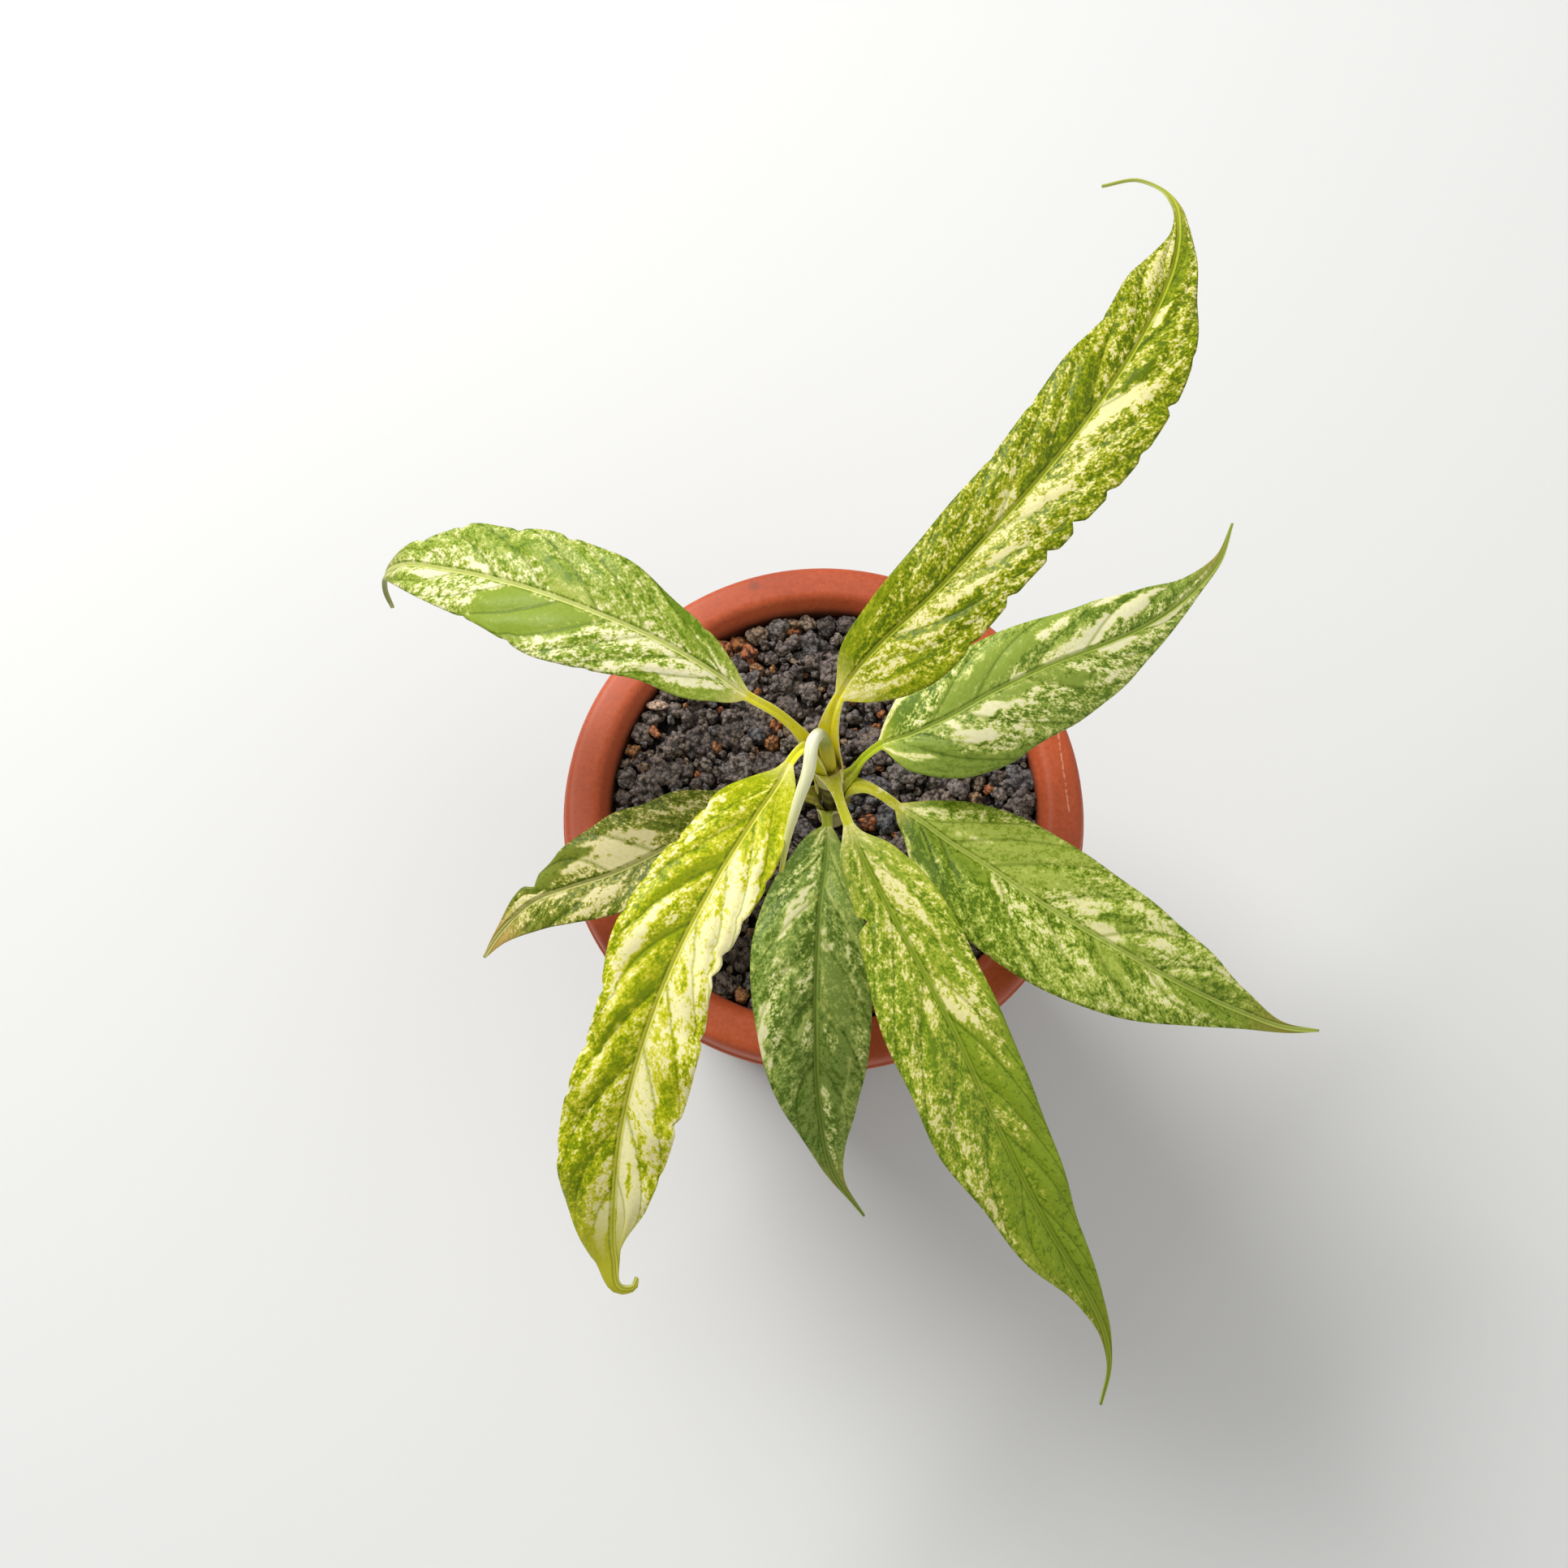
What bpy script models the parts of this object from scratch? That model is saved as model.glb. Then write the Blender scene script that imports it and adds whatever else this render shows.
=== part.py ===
"""Variegated aglaonema in a round moulded pot filled with volcanic gravel.

Constants are in millimetres; meshes are written in metres, +Z up. The origin
is the centre of the pot's flat underside. Seen by someone who stands over the
pot, +X is the plant's right and -Y its front.
"""

import math
import random

import bmesh
import bpy
import numpy as np
from mathutils import Matrix
from mathutils import Vector

MM = 0.001
GAP = 0.3                      # clearance between pieces that touch

# Pot: tapered wall, rolled rim that is hollow beneath, drain holes in the base
POT_HEIGHT = 115.0
POT_SIDES = 40
RIM_RADIUS = 65.0
RIM_CREASE_RADIUS = 56.8
RIM_DEPTH = 8.0
MOUTH_RADIUS = 52.7
MOUTH_DROP = 3.5
WALL = 2.0
FOOT_RADIUS = 44.0
FLOOR = 3.0
FOOT_RECESS = 1.5
CENTRE_PAD_RADIUS = 18.0
DRAIN_HOLES = 6
DRAIN_HOLE_RADIUS = 4.0
DRAIN_RING_RADIUS = 29.0

# Gravel: a bed with loose stones sunk in its surface
BED_TOP = 105.5
STONE_SPACING = 9.3
STONE_RADIUS_MIN = 4.2
STONE_RADIUS_MAX = 6.4
STONE_RISE = 0.35              # part of its radius by which a stone's centre clears the bed
STONE_TOP_LIMIT = 112.6
STONE_UNEVEN = (0.82, 1.12)    # range by which a stone's corners are drawn in or out
STONE_STRETCH = ((0.85, 1.2), (0.85, 1.2), (0.7, 0.95))
STONE_STRAY = 1.2              # how far a stone may lie off its ring
STONE_SLIP = 0.12              # and off its angle on the ring, in radians
STEM_FREE_RADIUS = 4.4         # no stone comes closer to the stem's axis
STONE_SEED = 11

# Stem: a short leaning cane; its foot stands in a plain hole in the gravel
STEM_FOOT = (3.8, -0.3, 78.0)
STEM_TOP = (0.6, -0.3, 150.0)
STEM_RADIUS = 2.2
STEM_SIDES = 12
SCAR_PITCH = 6.0
SCAR_RISE = 0.15

# Leaves: sizes that all of them share
ROW_PITCH = 4.8                # spacing of cross-sections along a leaf
BLADE_THICKNESS = 0.75
SHEATH_THICKNESS = 0.8
PETIOLE_HALF_WIDTH = 1.1
PETIOLE_DEPTH = 1.8
RIB_HALF_WIDTH = 1.5
RIB_DEPTH_AT_TIP = 0.9
TIP_HALF_WIDTH = 0.3
TIP_THICKNESS = 0.6
RIB_CHANNEL = 0.35
SHEATH_RADIUS = STEM_RADIUS + SCAR_RISE + 1.5 * GAP
SHEATH_FADE = 4.0              # length over which a sheath closes into its petiole
SHEATH_CLASPS = 0.6            # part of its length along which a sheath follows the stem
LEVEL_AT = 0.3                 # part of the blade's length at which it lies level across
LINE_POINTS = 1200             # fine points that a centre line is read at
VEIN_SWEEP = 0.14              # how far a side vein runs tipward on its way to the margin
NOTCH_REACH = 3.0              # length of margin that a notch takes on each side

# Half widths are given at these parts of the blade's length
STATIONS = (0.0, 0.02, 0.05, 0.1, 0.2, 0.3, 0.4, 0.5, 0.6, 0.7, 0.8, 0.9, 1.0)

# sheath: azimuth on the stem, bottom and top height, half angle that it clasps
# petiole, rib: points of the leaf's centre line, the blade starts with rib
# left, right: half widths of the blade seen from the stem towards the tip
# fold, sag: slope by which each half rises from the rib, and by which it drops
# veins, pleat: side veins along the blade and height of the blade between them
# wave: height of the margin's waves
# notches: part of the blade's length and depth, for those that a margin has
LEAVES = {
    "leaf_back": dict(
        sheath=(70.0, 141.0, 148.0, 38.0),
        petiole=[(0.8, 4.2, 157.0), (1.1, 6.4, 164.0)],
        rib=[(2.8, 10.0, 171.0), (6.0, 14.0, 175.5), (11.5, 19.3, 180.0),
             (24.0, 29.3, 187.0), (36.0, 41.2, 192.0), (48.3, 54.6, 195.0),
             (60.0, 69.5, 196.0), (70.0, 85.0, 195.0), (78.5, 102.0, 191.0),
             (83.0, 115.0, 185.5), (85.0, 127.0, 180.0), (85.0, 135.0, 175.5),
             (82.5, 141.3, 172.0), (77.0, 145.0, 170.0), (68.5, 145.0, 167.0)],
        left=[1.1, 2.8, 6.0, 8.3, 10.8, 11.4, 12.0, 12.7, 10.2, 8.8, 2.2, 0.5, 0.3],
        right=[1.1, 6.4, 11.2, 15.4, 14.8, 14.4, 15.4, 15.8, 13.4, 7.4, 3.4, 0.6, 0.3],
        fold=0.42, sag=0.30, veins=8, pleat=0.8, wave=0.8,
        left_notches=[(0.35, 0.4), (0.44, 0.5), (0.60, 0.4)],
        right_notches=[(0.17, 1.0), (0.236, 1.5), (0.307, 1.9), (0.351, 2.2),
                       (0.405, 1.4), (0.463, 0.9), (0.53, 1.7), (0.60, 0.4)],
        colour=(0.36, 0.50, 0.10)),
    "leaf_right_back": dict(
        sheath=(42.0, 125.6, 132.5, 44.0),
        petiole=[(6.2, 3.6, 137.5), (9.6, 5.1, 142.5)],
        rib=[(13.2, 6.8, 145.0), (20.0, 8.4, 148.0), (27.2, 11.1, 150.0),
             (40.6, 18.2, 152.0), (54.0, 24.8, 152.0), (68.0, 31.0, 150.0),
             (80.0, 38.0, 146.5), (90.0, 46.5, 143.5), (97.5, 56.0, 141.0),
             (101.6, 67.0, 138.0)],
        left=[1.0, 4.5, 8.4, 10.4, 12.2, 12.9, 12.0, 11.2, 10.5, 8.0, 4.0, 1.4, 0.3],
        right=[1.0, 4.5, 8.5, 13.1, 17.3, 16.6, 15.8, 12.8, 7.9, 4.0, 1.4, 0.6, 0.3],
        fold=0.25, sag=0.22, veins=6, pleat=0.5, wave=0.4,
        left_notches=[], right_notches=[],
        colour=(0.22, 0.38, 0.16)),
    "leaf_right_front": dict(
        sheath=(-5.0, 115.0, 123.0, 36.0),
        petiole=[(9.2, -0.8, 132.0), (13.2, -3.4, 136.0)],
        rib=[(17.3, -6.4, 138.0), (22.0, -10.1, 140.0), (29.2, -15.9, 141.0),
             (39.0, -22.8, 142.0), (53.3, -32.7, 141.0), (70.0, -41.8, 137.0),
             (86.5, -49.2, 130.0), (100.0, -53.4, 122.5), (113.0, -56.0, 115.0),
             (121.0, -56.0, 112.0)],
        left=[1.0, 2.9, 5.6, 10.2, 14.2, 15.9, 15.9, 14.9, 13.0, 10.4, 5.8, 1.6, 0.3],
        right=[1.0, 3.2, 5.6, 9.9, 15.4, 18.0, 18.0, 16.7, 13.6, 8.8, 4.7, 1.8, 0.3],
        fold=0.25, sag=0.25, veins=6, pleat=0.6, wave=0.4,
        left_notches=[], right_notches=[],
        colour=(0.25, 0.40, 0.14)),
    "leaf_front_right": dict(
        sheath=(-80.0, 131.0, 140.0, 62.0),
        petiole=[(2.0, -6.4, 149.0), (3.4, -11.6, 156.5)],
        rib=[(4.9, -16.7, 159.0), (7.3, -23.8, 161.0), (15.0, -39.6, 162.0),
             (21.5, -52.0, 161.0), (27.2, -62.8, 159.0), (39.5, -87.5, 149.0),
             (50.0, -106.0, 138.0), (61.5, -122.5, 125.0), (65.5, -130.0, 118.0),
             (66.8, -137.0, 112.5), (65.3, -145.3, 106.0)],
        left=[1.1, 2.3, 6.4, 10.0, 12.4, 11.9, 11.6, 10.8, 9.5, 6.5, 3.5, 1.0, 0.3],
        right=[1.1, 2.4, 4.8, 6.4, 11.0, 15.2, 15.3, 15.2, 11.4, 8.8, 3.6, 0.9, 0.3],
        fold=0.30, sag=0.25, veins=7, pleat=0.7, wave=0.5,
        left_notches=[], right_notches=[(0.15, 3.2)],
        colour=(0.33, 0.47, 0.12)),
    "leaf_front": dict(
        sheath=(-100.0, 111.0, 118.0, 36.0),
        petiole=[(0.2, -6.0, 131.0)],
        rib=[(0.5, -10.6, 135.5), (0.0, -20.3, 138.0), (-1.2, -30.0, 139.5),
             (-2.2, -45.0, 138.7), (-2.5, -60.0, 135.0), (-1.5, -78.0, 126.0),
             (2.0, -92.0, 116.0), (9.4, -100.8, 108.0)],
        left=[1.0, 1.9, 3.4, 5.4, 9.4, 12.1, 13.3, 13.1, 11.8, 8.6, 4.6, 1.4, 0.3],
        right=[1.0, 3.6, 6.2, 8.8, 13.0, 15.5, 15.5, 14.0, 11.9, 8.0, 3.4, 0.9, 0.3],
        fold=0.28, sag=0.25, veins=6, pleat=0.5, wave=0.4,
        left_notches=[], right_notches=[],
        colour=(0.17, 0.33, 0.13)),
    "leaf_front_left": dict(
        sheath=(222.0, 143.0, 150.0, 36.0),
        petiole=[(-2.8, -0.6, 157.5), (-4.5, -0.5, 166.5), (-6.6, -3.0, 171.0)],
        rib=[(-8.8, -6.7, 173.3), (-10.7, -11.2, 175.3), (-16.0, -20.3, 178.0),
             (-25.5, -37.1, 181.0), (-34.4, -54.8, 180.0), (-41.0, -71.2, 175.0),
             (-45.9, -87.5, 166.0), (-48.3, -103.5, 155.0), (-48.5, -115.5, 144.5),
             (-46.6, -121.8, 139.5), (-44.4, -121.5, 139.3), (-43.4, -119.5, 139.5)],
        left=[1.1, 2.4, 4.6, 7.6, 10.6, 10.6, 10.4, 13.0, 13.3, 11.8, 8.0, 1.4, 0.3],
        right=[1.1, 2.2, 5.3, 9.3, 12.0, 14.6, 15.0, 12.2, 13.2, 13.8, 11.6, 5.6, 0.4],
        fold=0.42, sag=0.32, veins=8, pleat=1.0, wave=0.9,
        left_notches=[(0.13, 0.7), (0.21, 0.8), (0.29, 0.7), (0.35, 1.2), (0.39, 1.0),
                      (0.49, 0.8), (0.64, 1.3), (0.74, 0.4)],
        right_notches=[(0.15, 0.8), (0.22, 0.9), (0.29, 0.8), (0.35, 0.8), (0.47, 0.9),
                       (0.56, 0.8), (0.63, 0.6), (0.73, 0.6)],
        colour=(0.55, 0.62, 0.14)),
    "leaf_left": dict(
        sheath=(178.0, 115.0, 122.0, 36.0),
        petiole=[(-5.6, -0.8, 129.5), (-10.5, -2.7, 134.0)],
        rib=[(-17.0, -5.8, 136.0), (-26.0, -10.3, 137.0), (-35.7, -15.2, 137.0),
             (-51.6, -22.3, 134.0), (-62.0, -24.9, 131.0), (-70.0, -27.0, 127.5),
             (-79.0, -33.6, 122.0), (-83.5, -38.8, 117.0)],
        left=[1.0, 2.5, 5.5, 9.5, 12.0, 12.6, 11.3, 9.9, 9.2, 8.1, 6.5, 3.0, 0.3],
        right=[1.0, 3.5, 6.0, 8.0, 11.4, 12.2, 13.3, 12.6, 9.9, 6.0, 3.7, 1.4, 0.3],
        fold=0.30, sag=0.22, veins=5, pleat=0.5, wave=0.6,
        left_notches=[], right_notches=[(0.73, 2.2)],
        colour=(0.33, 0.42, 0.20)),
    "leaf_left_back": dict(
        sheath=(148.0, 133.0, 141.0, 38.0),
        petiole=[(-3.9, 3.1, 155.0), (-7.0, 4.3, 164.5), (-11.8, 6.4, 171.0)],
        rib=[(-18.4, 8.9, 175.5), (-25.2, 12.8, 179.0), (-39.0, 20.3, 182.0),
             (-53.0, 26.8, 182.0), (-67.0, 33.3, 179.0), (-79.5, 38.7, 174.0),
             (-91.5, 43.7, 167.0), (-101.0, 47.0, 161.0), (-106.0, 47.6, 154.0),
             (-107.3, 46.0, 147.0), (-106.3, 43.6, 141.0)],
        left=[1.1, 3.5, 5.8, 8.8, 10.8, 13.5, 15.6, 13.7, 11.2, 9.4, 6.2, 1.8, 0.4],
        right=[1.1, 2.1, 4.0, 6.7, 9.8, 14.1, 15.2, 14.9, 13.5, 11.9, 6.2, 1.6, 0.4],
        fold=0.28, sag=0.26, veins=6, pleat=0.8, wave=0.6,
        left_notches=[(0.31, 0.4), (0.48, 0.6), (0.60, 0.5)],
        right_notches=[(0.14, 0.5), (0.455, 0.9), (0.57, 0.7), (0.70, 1.0), (0.78, 1.0)],
        colour=(0.30, 0.45, 0.14)),
}

# Youngest leaf, still rolled: centre line, and its radius from base to tip
ROLLED_RIB = [(0.55, -0.35, 150.6), (-0.2, -0.8, 161.0), (-1.6, -2.3, 175.0),
              (-2.8, -4.6, 184.8), (-3.5, -7.9, 189.0), (-4.3, -12.7, 188.2),
              (-6.6, -19.6, 184.5), (-8.5, -26.6, 179.0), (-10.1, -32.6, 173.5)]
ROLLED_RADII = [1.15, 1.15, 1.25, 1.4, 1.45, 1.45, 1.3, 0.85, 0.4]
ROLLED_ROWS = 22
ROLLED_SIDES = 8


def clear_scene():
    for obj in list(bpy.data.objects):
        bpy.data.objects.remove(obj, do_unlink=True)


def material(name, colour, roughness):
    """Plain Principled material, not metallic."""
    made = bpy.data.materials.new(name)
    made.use_nodes = True
    shader = made.node_tree.nodes["Principled BSDF"]
    shader.inputs["Base Color"].default_value = (*colour, 1.0)
    shader.inputs["Roughness"].default_value = roughness
    shader.inputs["Metallic"].default_value = 0.0
    return made


def add_object(name, bm, finish=None):
    """Turn a mesh in millimetres into a named object in metres."""
    bmesh.ops.scale(bm, verts=bm.verts, vec=(MM, MM, MM))
    mesh = bpy.data.meshes.new(name)
    bm.to_mesh(mesh)
    bm.free()
    obj = bpy.data.objects.new(name, mesh)
    bpy.context.scene.collection.objects.link(obj)
    if finish is not None:
        mesh.materials.append(finish)
    return obj


def shade(obj, sharp_angle):
    obj.data.shade_smooth()
    obj.data.set_sharp_from_angle(angle=math.radians(sharp_angle))


def apply_boolean(obj, operation, solver, other=None, collection=None):
    """Join or cut obj with one object or with a collection, then drop those."""
    modifier = obj.modifiers.new("shape", "BOOLEAN")
    modifier.operation = operation
    modifier.solver = solver
    if collection is not None:
        modifier.operand_type = "COLLECTION"
        modifier.collection = collection
    else:
        modifier.object = other
    evaluated = obj.evaluated_get(bpy.context.evaluated_depsgraph_get())
    result = bpy.data.meshes.new_from_object(evaluated)
    obj.modifiers.clear()
    obj.data = result
    cutters = list(collection.objects) if collection is not None else [other]
    for cutter in cutters:
        bpy.data.objects.remove(cutter, do_unlink=True)
    if collection is not None:
        bpy.data.collections.remove(collection)


def lathe(profile, sides):
    """Turn a profile of (radius, height) points about the Z axis."""
    bm = bmesh.new()
    points = [bm.verts.new((radius, 0.0, height)) for radius, height in profile]
    lines = [bm.edges.new(pair) for pair in zip(points, points[1:])]
    bmesh.ops.spin(bm, geom=points + lines, cent=(0, 0, 0), axis=(0, 0, 1),
                   angle=math.tau, steps=sides, use_merge=True)
    bmesh.ops.remove_doubles(bm, verts=bm.verts, dist=0.001)
    bmesh.ops.recalc_face_normals(bm, faces=bm.faces)
    return bm


def inner_radius(height):
    """Radius of the pot's inner wall at a height."""
    mouth = POT_HEIGHT - MOUTH_DROP
    start = FOOT_RADIUS - WALL
    return start + (MOUTH_RADIUS - start) * (height - FLOOR) / (mouth - FLOOR)


def build_pot():
    mouth = POT_HEIGHT - MOUTH_DROP
    skirt = POT_HEIGHT - RIM_DEPTH
    underside = [(0.0, 0.0), (CENTRE_PAD_RADIUS, 0.0),
                 (CENTRE_PAD_RADIUS + FOOT_RECESS, FOOT_RECESS),
                 (FOOT_RADIUS - 6.5, FOOT_RECESS), (FOOT_RADIUS - 5.0, 0.0),
                 (FOOT_RADIUS - 1.0, 0.0), (FOOT_RADIUS, 1.0)]
    under_rim = [(MOUTH_RADIUS + WALL, mouth), (RIM_CREASE_RADIUS, POT_HEIGHT - WALL),
                 (RIM_RADIUS - 2.6, POT_HEIGHT - WALL - 0.6),
                 (RIM_RADIUS - 1.9, POT_HEIGHT - WALL - 2.0),
                 (RIM_RADIUS - 1.7, skirt)]
    over_rim = [(RIM_RADIUS + 0.5, skirt), (RIM_RADIUS + 0.5, skirt + 1.2),
                (RIM_RADIUS + 0.1, skirt + 1.8), (RIM_RADIUS, POT_HEIGHT - 2.6),
                (RIM_RADIUS - 0.8, POT_HEIGHT - 1.1),
                (RIM_RADIUS - 2.2, POT_HEIGHT - 0.5),
                (RIM_CREASE_RADIUS + 0.6, POT_HEIGHT),
                (RIM_CREASE_RADIUS - 0.8, POT_HEIGHT - 0.2),
                (MOUTH_RADIUS, mouth)]
    inside = [(FOOT_RADIUS - WALL, FLOOR), (0.0, FLOOR)]
    bm = lathe(underside + under_rim + over_rim + inside, POT_SIDES)
    finish = material("terracotta_plastic", (0.56, 0.16, 0.08), 0.42)
    pot = add_object("pot", bm, finish)

    drains = bpy.data.collections.new("drains")
    bpy.context.scene.collection.children.link(drains)
    for number in range(DRAIN_HOLES):
        angle = math.tau * number / DRAIN_HOLES
        centre = Vector((math.cos(angle), math.sin(angle), 0.0)) * DRAIN_RING_RADIUS
        cut = bmesh.new()
        bmesh.ops.create_cone(cut, cap_ends=True, segments=10, radius1=DRAIN_HOLE_RADIUS,
                              radius2=DRAIN_HOLE_RADIUS, depth=4 * FLOOR,
                              matrix=Matrix.Translation(centre))
        cutter = add_object("drain", cut)
        bpy.context.scene.collection.objects.unlink(cutter)
        drains.objects.link(cutter)
    apply_boolean(pot, "DIFFERENCE", "EXACT", collection=drains)
    shade(pot, 35)


def stem_axis(height):
    """Point of the stem's centre line at a height."""
    foot, top = Vector(STEM_FOOT), Vector(STEM_TOP)
    return foot.lerp(top, (height - foot.z) / (top.z - foot.z))


def along_stem():
    """Rotation and foot point that set an upright shape along the stem."""
    direction = Vector(STEM_TOP) - Vector(STEM_FOOT)
    turn = direction.to_track_quat("Z", "Y").to_matrix().to_4x4()
    return Matrix.Translation(STEM_FOOT) @ turn, direction.length


def build_stem():
    placing, length = along_stem()
    profile = [(0.0, 0.0), (STEM_RADIUS, 0.0)]
    scars = int(length / SCAR_PITCH)
    for number in range(5, scars):
        height = number * SCAR_PITCH
        profile += [(STEM_RADIUS, height - 1.0), (STEM_RADIUS + SCAR_RISE, height),
                    (STEM_RADIUS, height + 0.6)]
    profile += [(STEM_RADIUS, length - 2.0), (STEM_RADIUS * 0.75, length - 0.5),
                (0.0, length)]
    bm = lathe(profile, STEM_SIDES)
    bmesh.ops.transform(bm, matrix=placing, verts=bm.verts)
    stem = add_object("stem", bm, material("stem_olive", (0.36, 0.33, 0.14), 0.6))
    shade(stem, 40)


def stone(rng, centre, radius):
    """One angular stone: a stretched and turned block of twenty faces."""
    bm = bmesh.new()
    bmesh.ops.create_icosphere(bm, subdivisions=1, radius=radius)
    for corner in bm.verts:
        corner.co *= rng.uniform(*STONE_UNEVEN)
    stretch = Vector([rng.uniform(*limits) for limits in STONE_STRETCH])
    bmesh.ops.scale(bm, vec=stretch, verts=bm.verts)
    for axis in "XYZ":
        turn = Matrix.Rotation(rng.uniform(0, math.tau), 3, axis)
        bmesh.ops.rotate(bm, cent=(0, 0, 0), matrix=turn, verts=bm.verts)
    highest = max(corner.co.z for corner in bm.verts)
    lowered = min(centre.z, STONE_TOP_LIMIT - highest)
    bmesh.ops.translate(bm, vec=(centre.x, centre.y, lowered), verts=bm.verts)
    return bm


def stone_places(rng):
    """Centres and radii of the stones, on rings that fill the pot's mouth."""
    places = []
    widest = inner_radius(BED_TOP) - GAP
    rings = int(widest / STONE_SPACING)
    for ring in range(rings + 1):
        distance = ring * STONE_SPACING
        count = max(1, round(math.tau * distance / STONE_SPACING))
        phase = rng.uniform(0, math.tau)
        for number in range(count):
            radius = rng.uniform(STONE_RADIUS_MIN, STONE_RADIUS_MAX)
            angle = phase + math.tau * number / count + rng.uniform(-STONE_SLIP, STONE_SLIP)
            reach = distance + rng.uniform(-STONE_STRAY, STONE_STRAY)
            reach = min(abs(reach), widest - 1.35 * radius)
            place = Vector((reach * math.cos(angle), reach * math.sin(angle),
                            BED_TOP + STONE_RISE * radius))
            to_stem = (place - stem_axis(place.z)).length
            if to_stem > STEM_FREE_RADIUS + 1.3 * radius:
                places.append((place, radius))
    return places


def fill_voids(obj):
    """Keep the outer skin alone, so that voids closed in by the union are filled."""
    bm = bmesh.new()
    bm.from_mesh(obj.data)
    left = set(bm.verts)
    skins = []
    while left:
        fringe = [left.pop()]
        skin = set(fringe)
        while fringe:
            corner = fringe.pop()
            near = {edge.other_vert(corner) for edge in corner.link_edges} & left
            left -= near
            skin |= near
            fringe += near
        skins.append(skin)
    outer = max(skins, key=len)
    bmesh.ops.delete(bm, geom=[v for v in bm.verts if v not in outer], context="VERTS")
    bm.to_mesh(obj.data)
    bm.free()


def build_gravel():
    low = FLOOR + GAP
    bm = lathe([(0.0, low), (inner_radius(low) - GAP, low),
                (inner_radius(BED_TOP) - GAP, BED_TOP), (0.0, BED_TOP)], POT_SIDES)
    gravel = add_object("gravel", bm)
    rng = random.Random(STONE_SEED)
    stones = bpy.data.collections.new("stones")
    bpy.context.scene.collection.children.link(stones)
    for centre, radius in stone_places(rng):
        rock = add_object("stone", stone(rng, centre, radius))
        bpy.context.scene.collection.objects.unlink(rock)
        stones.objects.link(rock)
    apply_boolean(gravel, "UNION", "MANIFOLD", collection=stones)
    fill_voids(gravel)

    placing, length = along_stem()
    hole = bmesh.new()
    bmesh.ops.create_cone(hole, cap_ends=True, segments=STEM_SIDES,
                          radius1=STEM_RADIUS + SCAR_RISE + GAP,
                          radius2=STEM_RADIUS + SCAR_RISE + GAP, depth=length)
    bmesh.ops.translate(hole, vec=(0, 0, length / 2 - GAP), verts=hole.verts)
    bmesh.ops.transform(hole, matrix=placing, verts=hole.verts)
    apply_boolean(gravel, "DIFFERENCE", "MANIFOLD", other=add_object("stem_hole", hole))
    gravel.data.materials.clear()
    gravel.data.materials.append(material("volcanic_gravel", (0.14, 0.12, 0.11), 0.92))


def smooth(knots, values, at):
    """Values of the smooth curve that passes through the given knots."""
    knots = np.asarray(knots, float)
    values = np.asarray(values, float).reshape(len(knots), -1)
    step = np.diff(knots)[:, None]
    slope = np.diff(values, axis=0) / step
    inner = (slope[:-1] * step[1:] + slope[1:] * step[:-1]) / (step[1:] + step[:-1])
    tangent = np.vstack([slope[:1], inner, slope[-1:]])
    at = np.clip(at, knots[0], knots[-1])
    i = np.clip(np.searchsorted(knots, at, side="right") - 1, 0, len(knots) - 2)
    t = ((at - knots[i]) / step[i, 0])[:, None]
    return ((1 + 2 * t) * (1 - t) ** 2 * values[i]
            + t * (1 - t) ** 2 * step[i] * tangent[i]
            + t * t * (3 - 2 * t) * values[i + 1]
            + t * t * (t - 1) * step[i] * tangent[i + 1])


def lengths(points):
    """Distance from the first point to each point, along the line."""
    hops = np.linalg.norm(np.diff(points, axis=0), axis=1)
    return np.concatenate([[0.0], np.cumsum(hops)])


def centre_line(leaf):
    """Fine points of a leaf's centre line and the length of its petiole."""
    azimuth, bottom, top, _ = leaf["sheath"]
    out = Vector((math.cos(math.radians(azimuth)), math.sin(math.radians(azimuth)), 0.0))
    clasp = [stem_axis(height) + out * SHEATH_RADIUS for height in (bottom, top)]
    points = np.array([tuple(p) for p in clasp] + leaf["petiole"] + leaf["rib"])
    knots = lengths(points)
    fine = np.linspace(0.0, knots[-1], LINE_POINTS)
    line = smooth(knots, points, fine)
    run = lengths(line)
    petiole_length = np.interp(knots[2 + len(leaf["petiole"])], fine, run)
    return line, run, petiole_length


def frames(line, level_at):
    """Lateral and normal directions that follow the line without spinning."""
    along = np.gradient(line, axis=0)
    along /= np.linalg.norm(along, axis=1)[:, None]
    lateral = np.zeros_like(along)
    level = np.cross((0.0, 0.0, 1.0), along[level_at])
    lateral[level_at] = level / np.linalg.norm(level)
    for order in (range(level_at + 1, len(line)), range(level_at - 1, -1, -1)):
        for i in order:
            before = i - 1 if i > level_at else i + 1
            carried = lateral[before] - along[i] * (lateral[before] @ along[i])
            lateral[i] = carried / np.linalg.norm(carried)
    return along, lateral


def turned(lateral, normal, angle):
    cos, sin = np.cos(angle)[:, None], np.sin(angle)[:, None]
    return lateral * cos + normal * sin, normal * cos - lateral * sin


def leaf_frames(line, run, petiole_length):
    """Frames of a leaf: blade level across its middle, sheath facing the stem."""
    level_run = petiole_length + LEVEL_AT * (run[-1] - petiole_length)
    along, lateral = frames(line, int(np.searchsorted(run, level_run)))
    normal = np.cross(along, lateral)
    inward = np.array(stem_axis(line[0, 2])) - line[0]
    off = math.atan2(-(inward @ lateral[0]), inward @ normal[0])
    fade = np.clip(1.0 - run / petiole_length, 0.0, 1.0)
    ease = fade * fade * (3 - 2 * fade)
    return turned(lateral, normal, off * ease)


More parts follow.
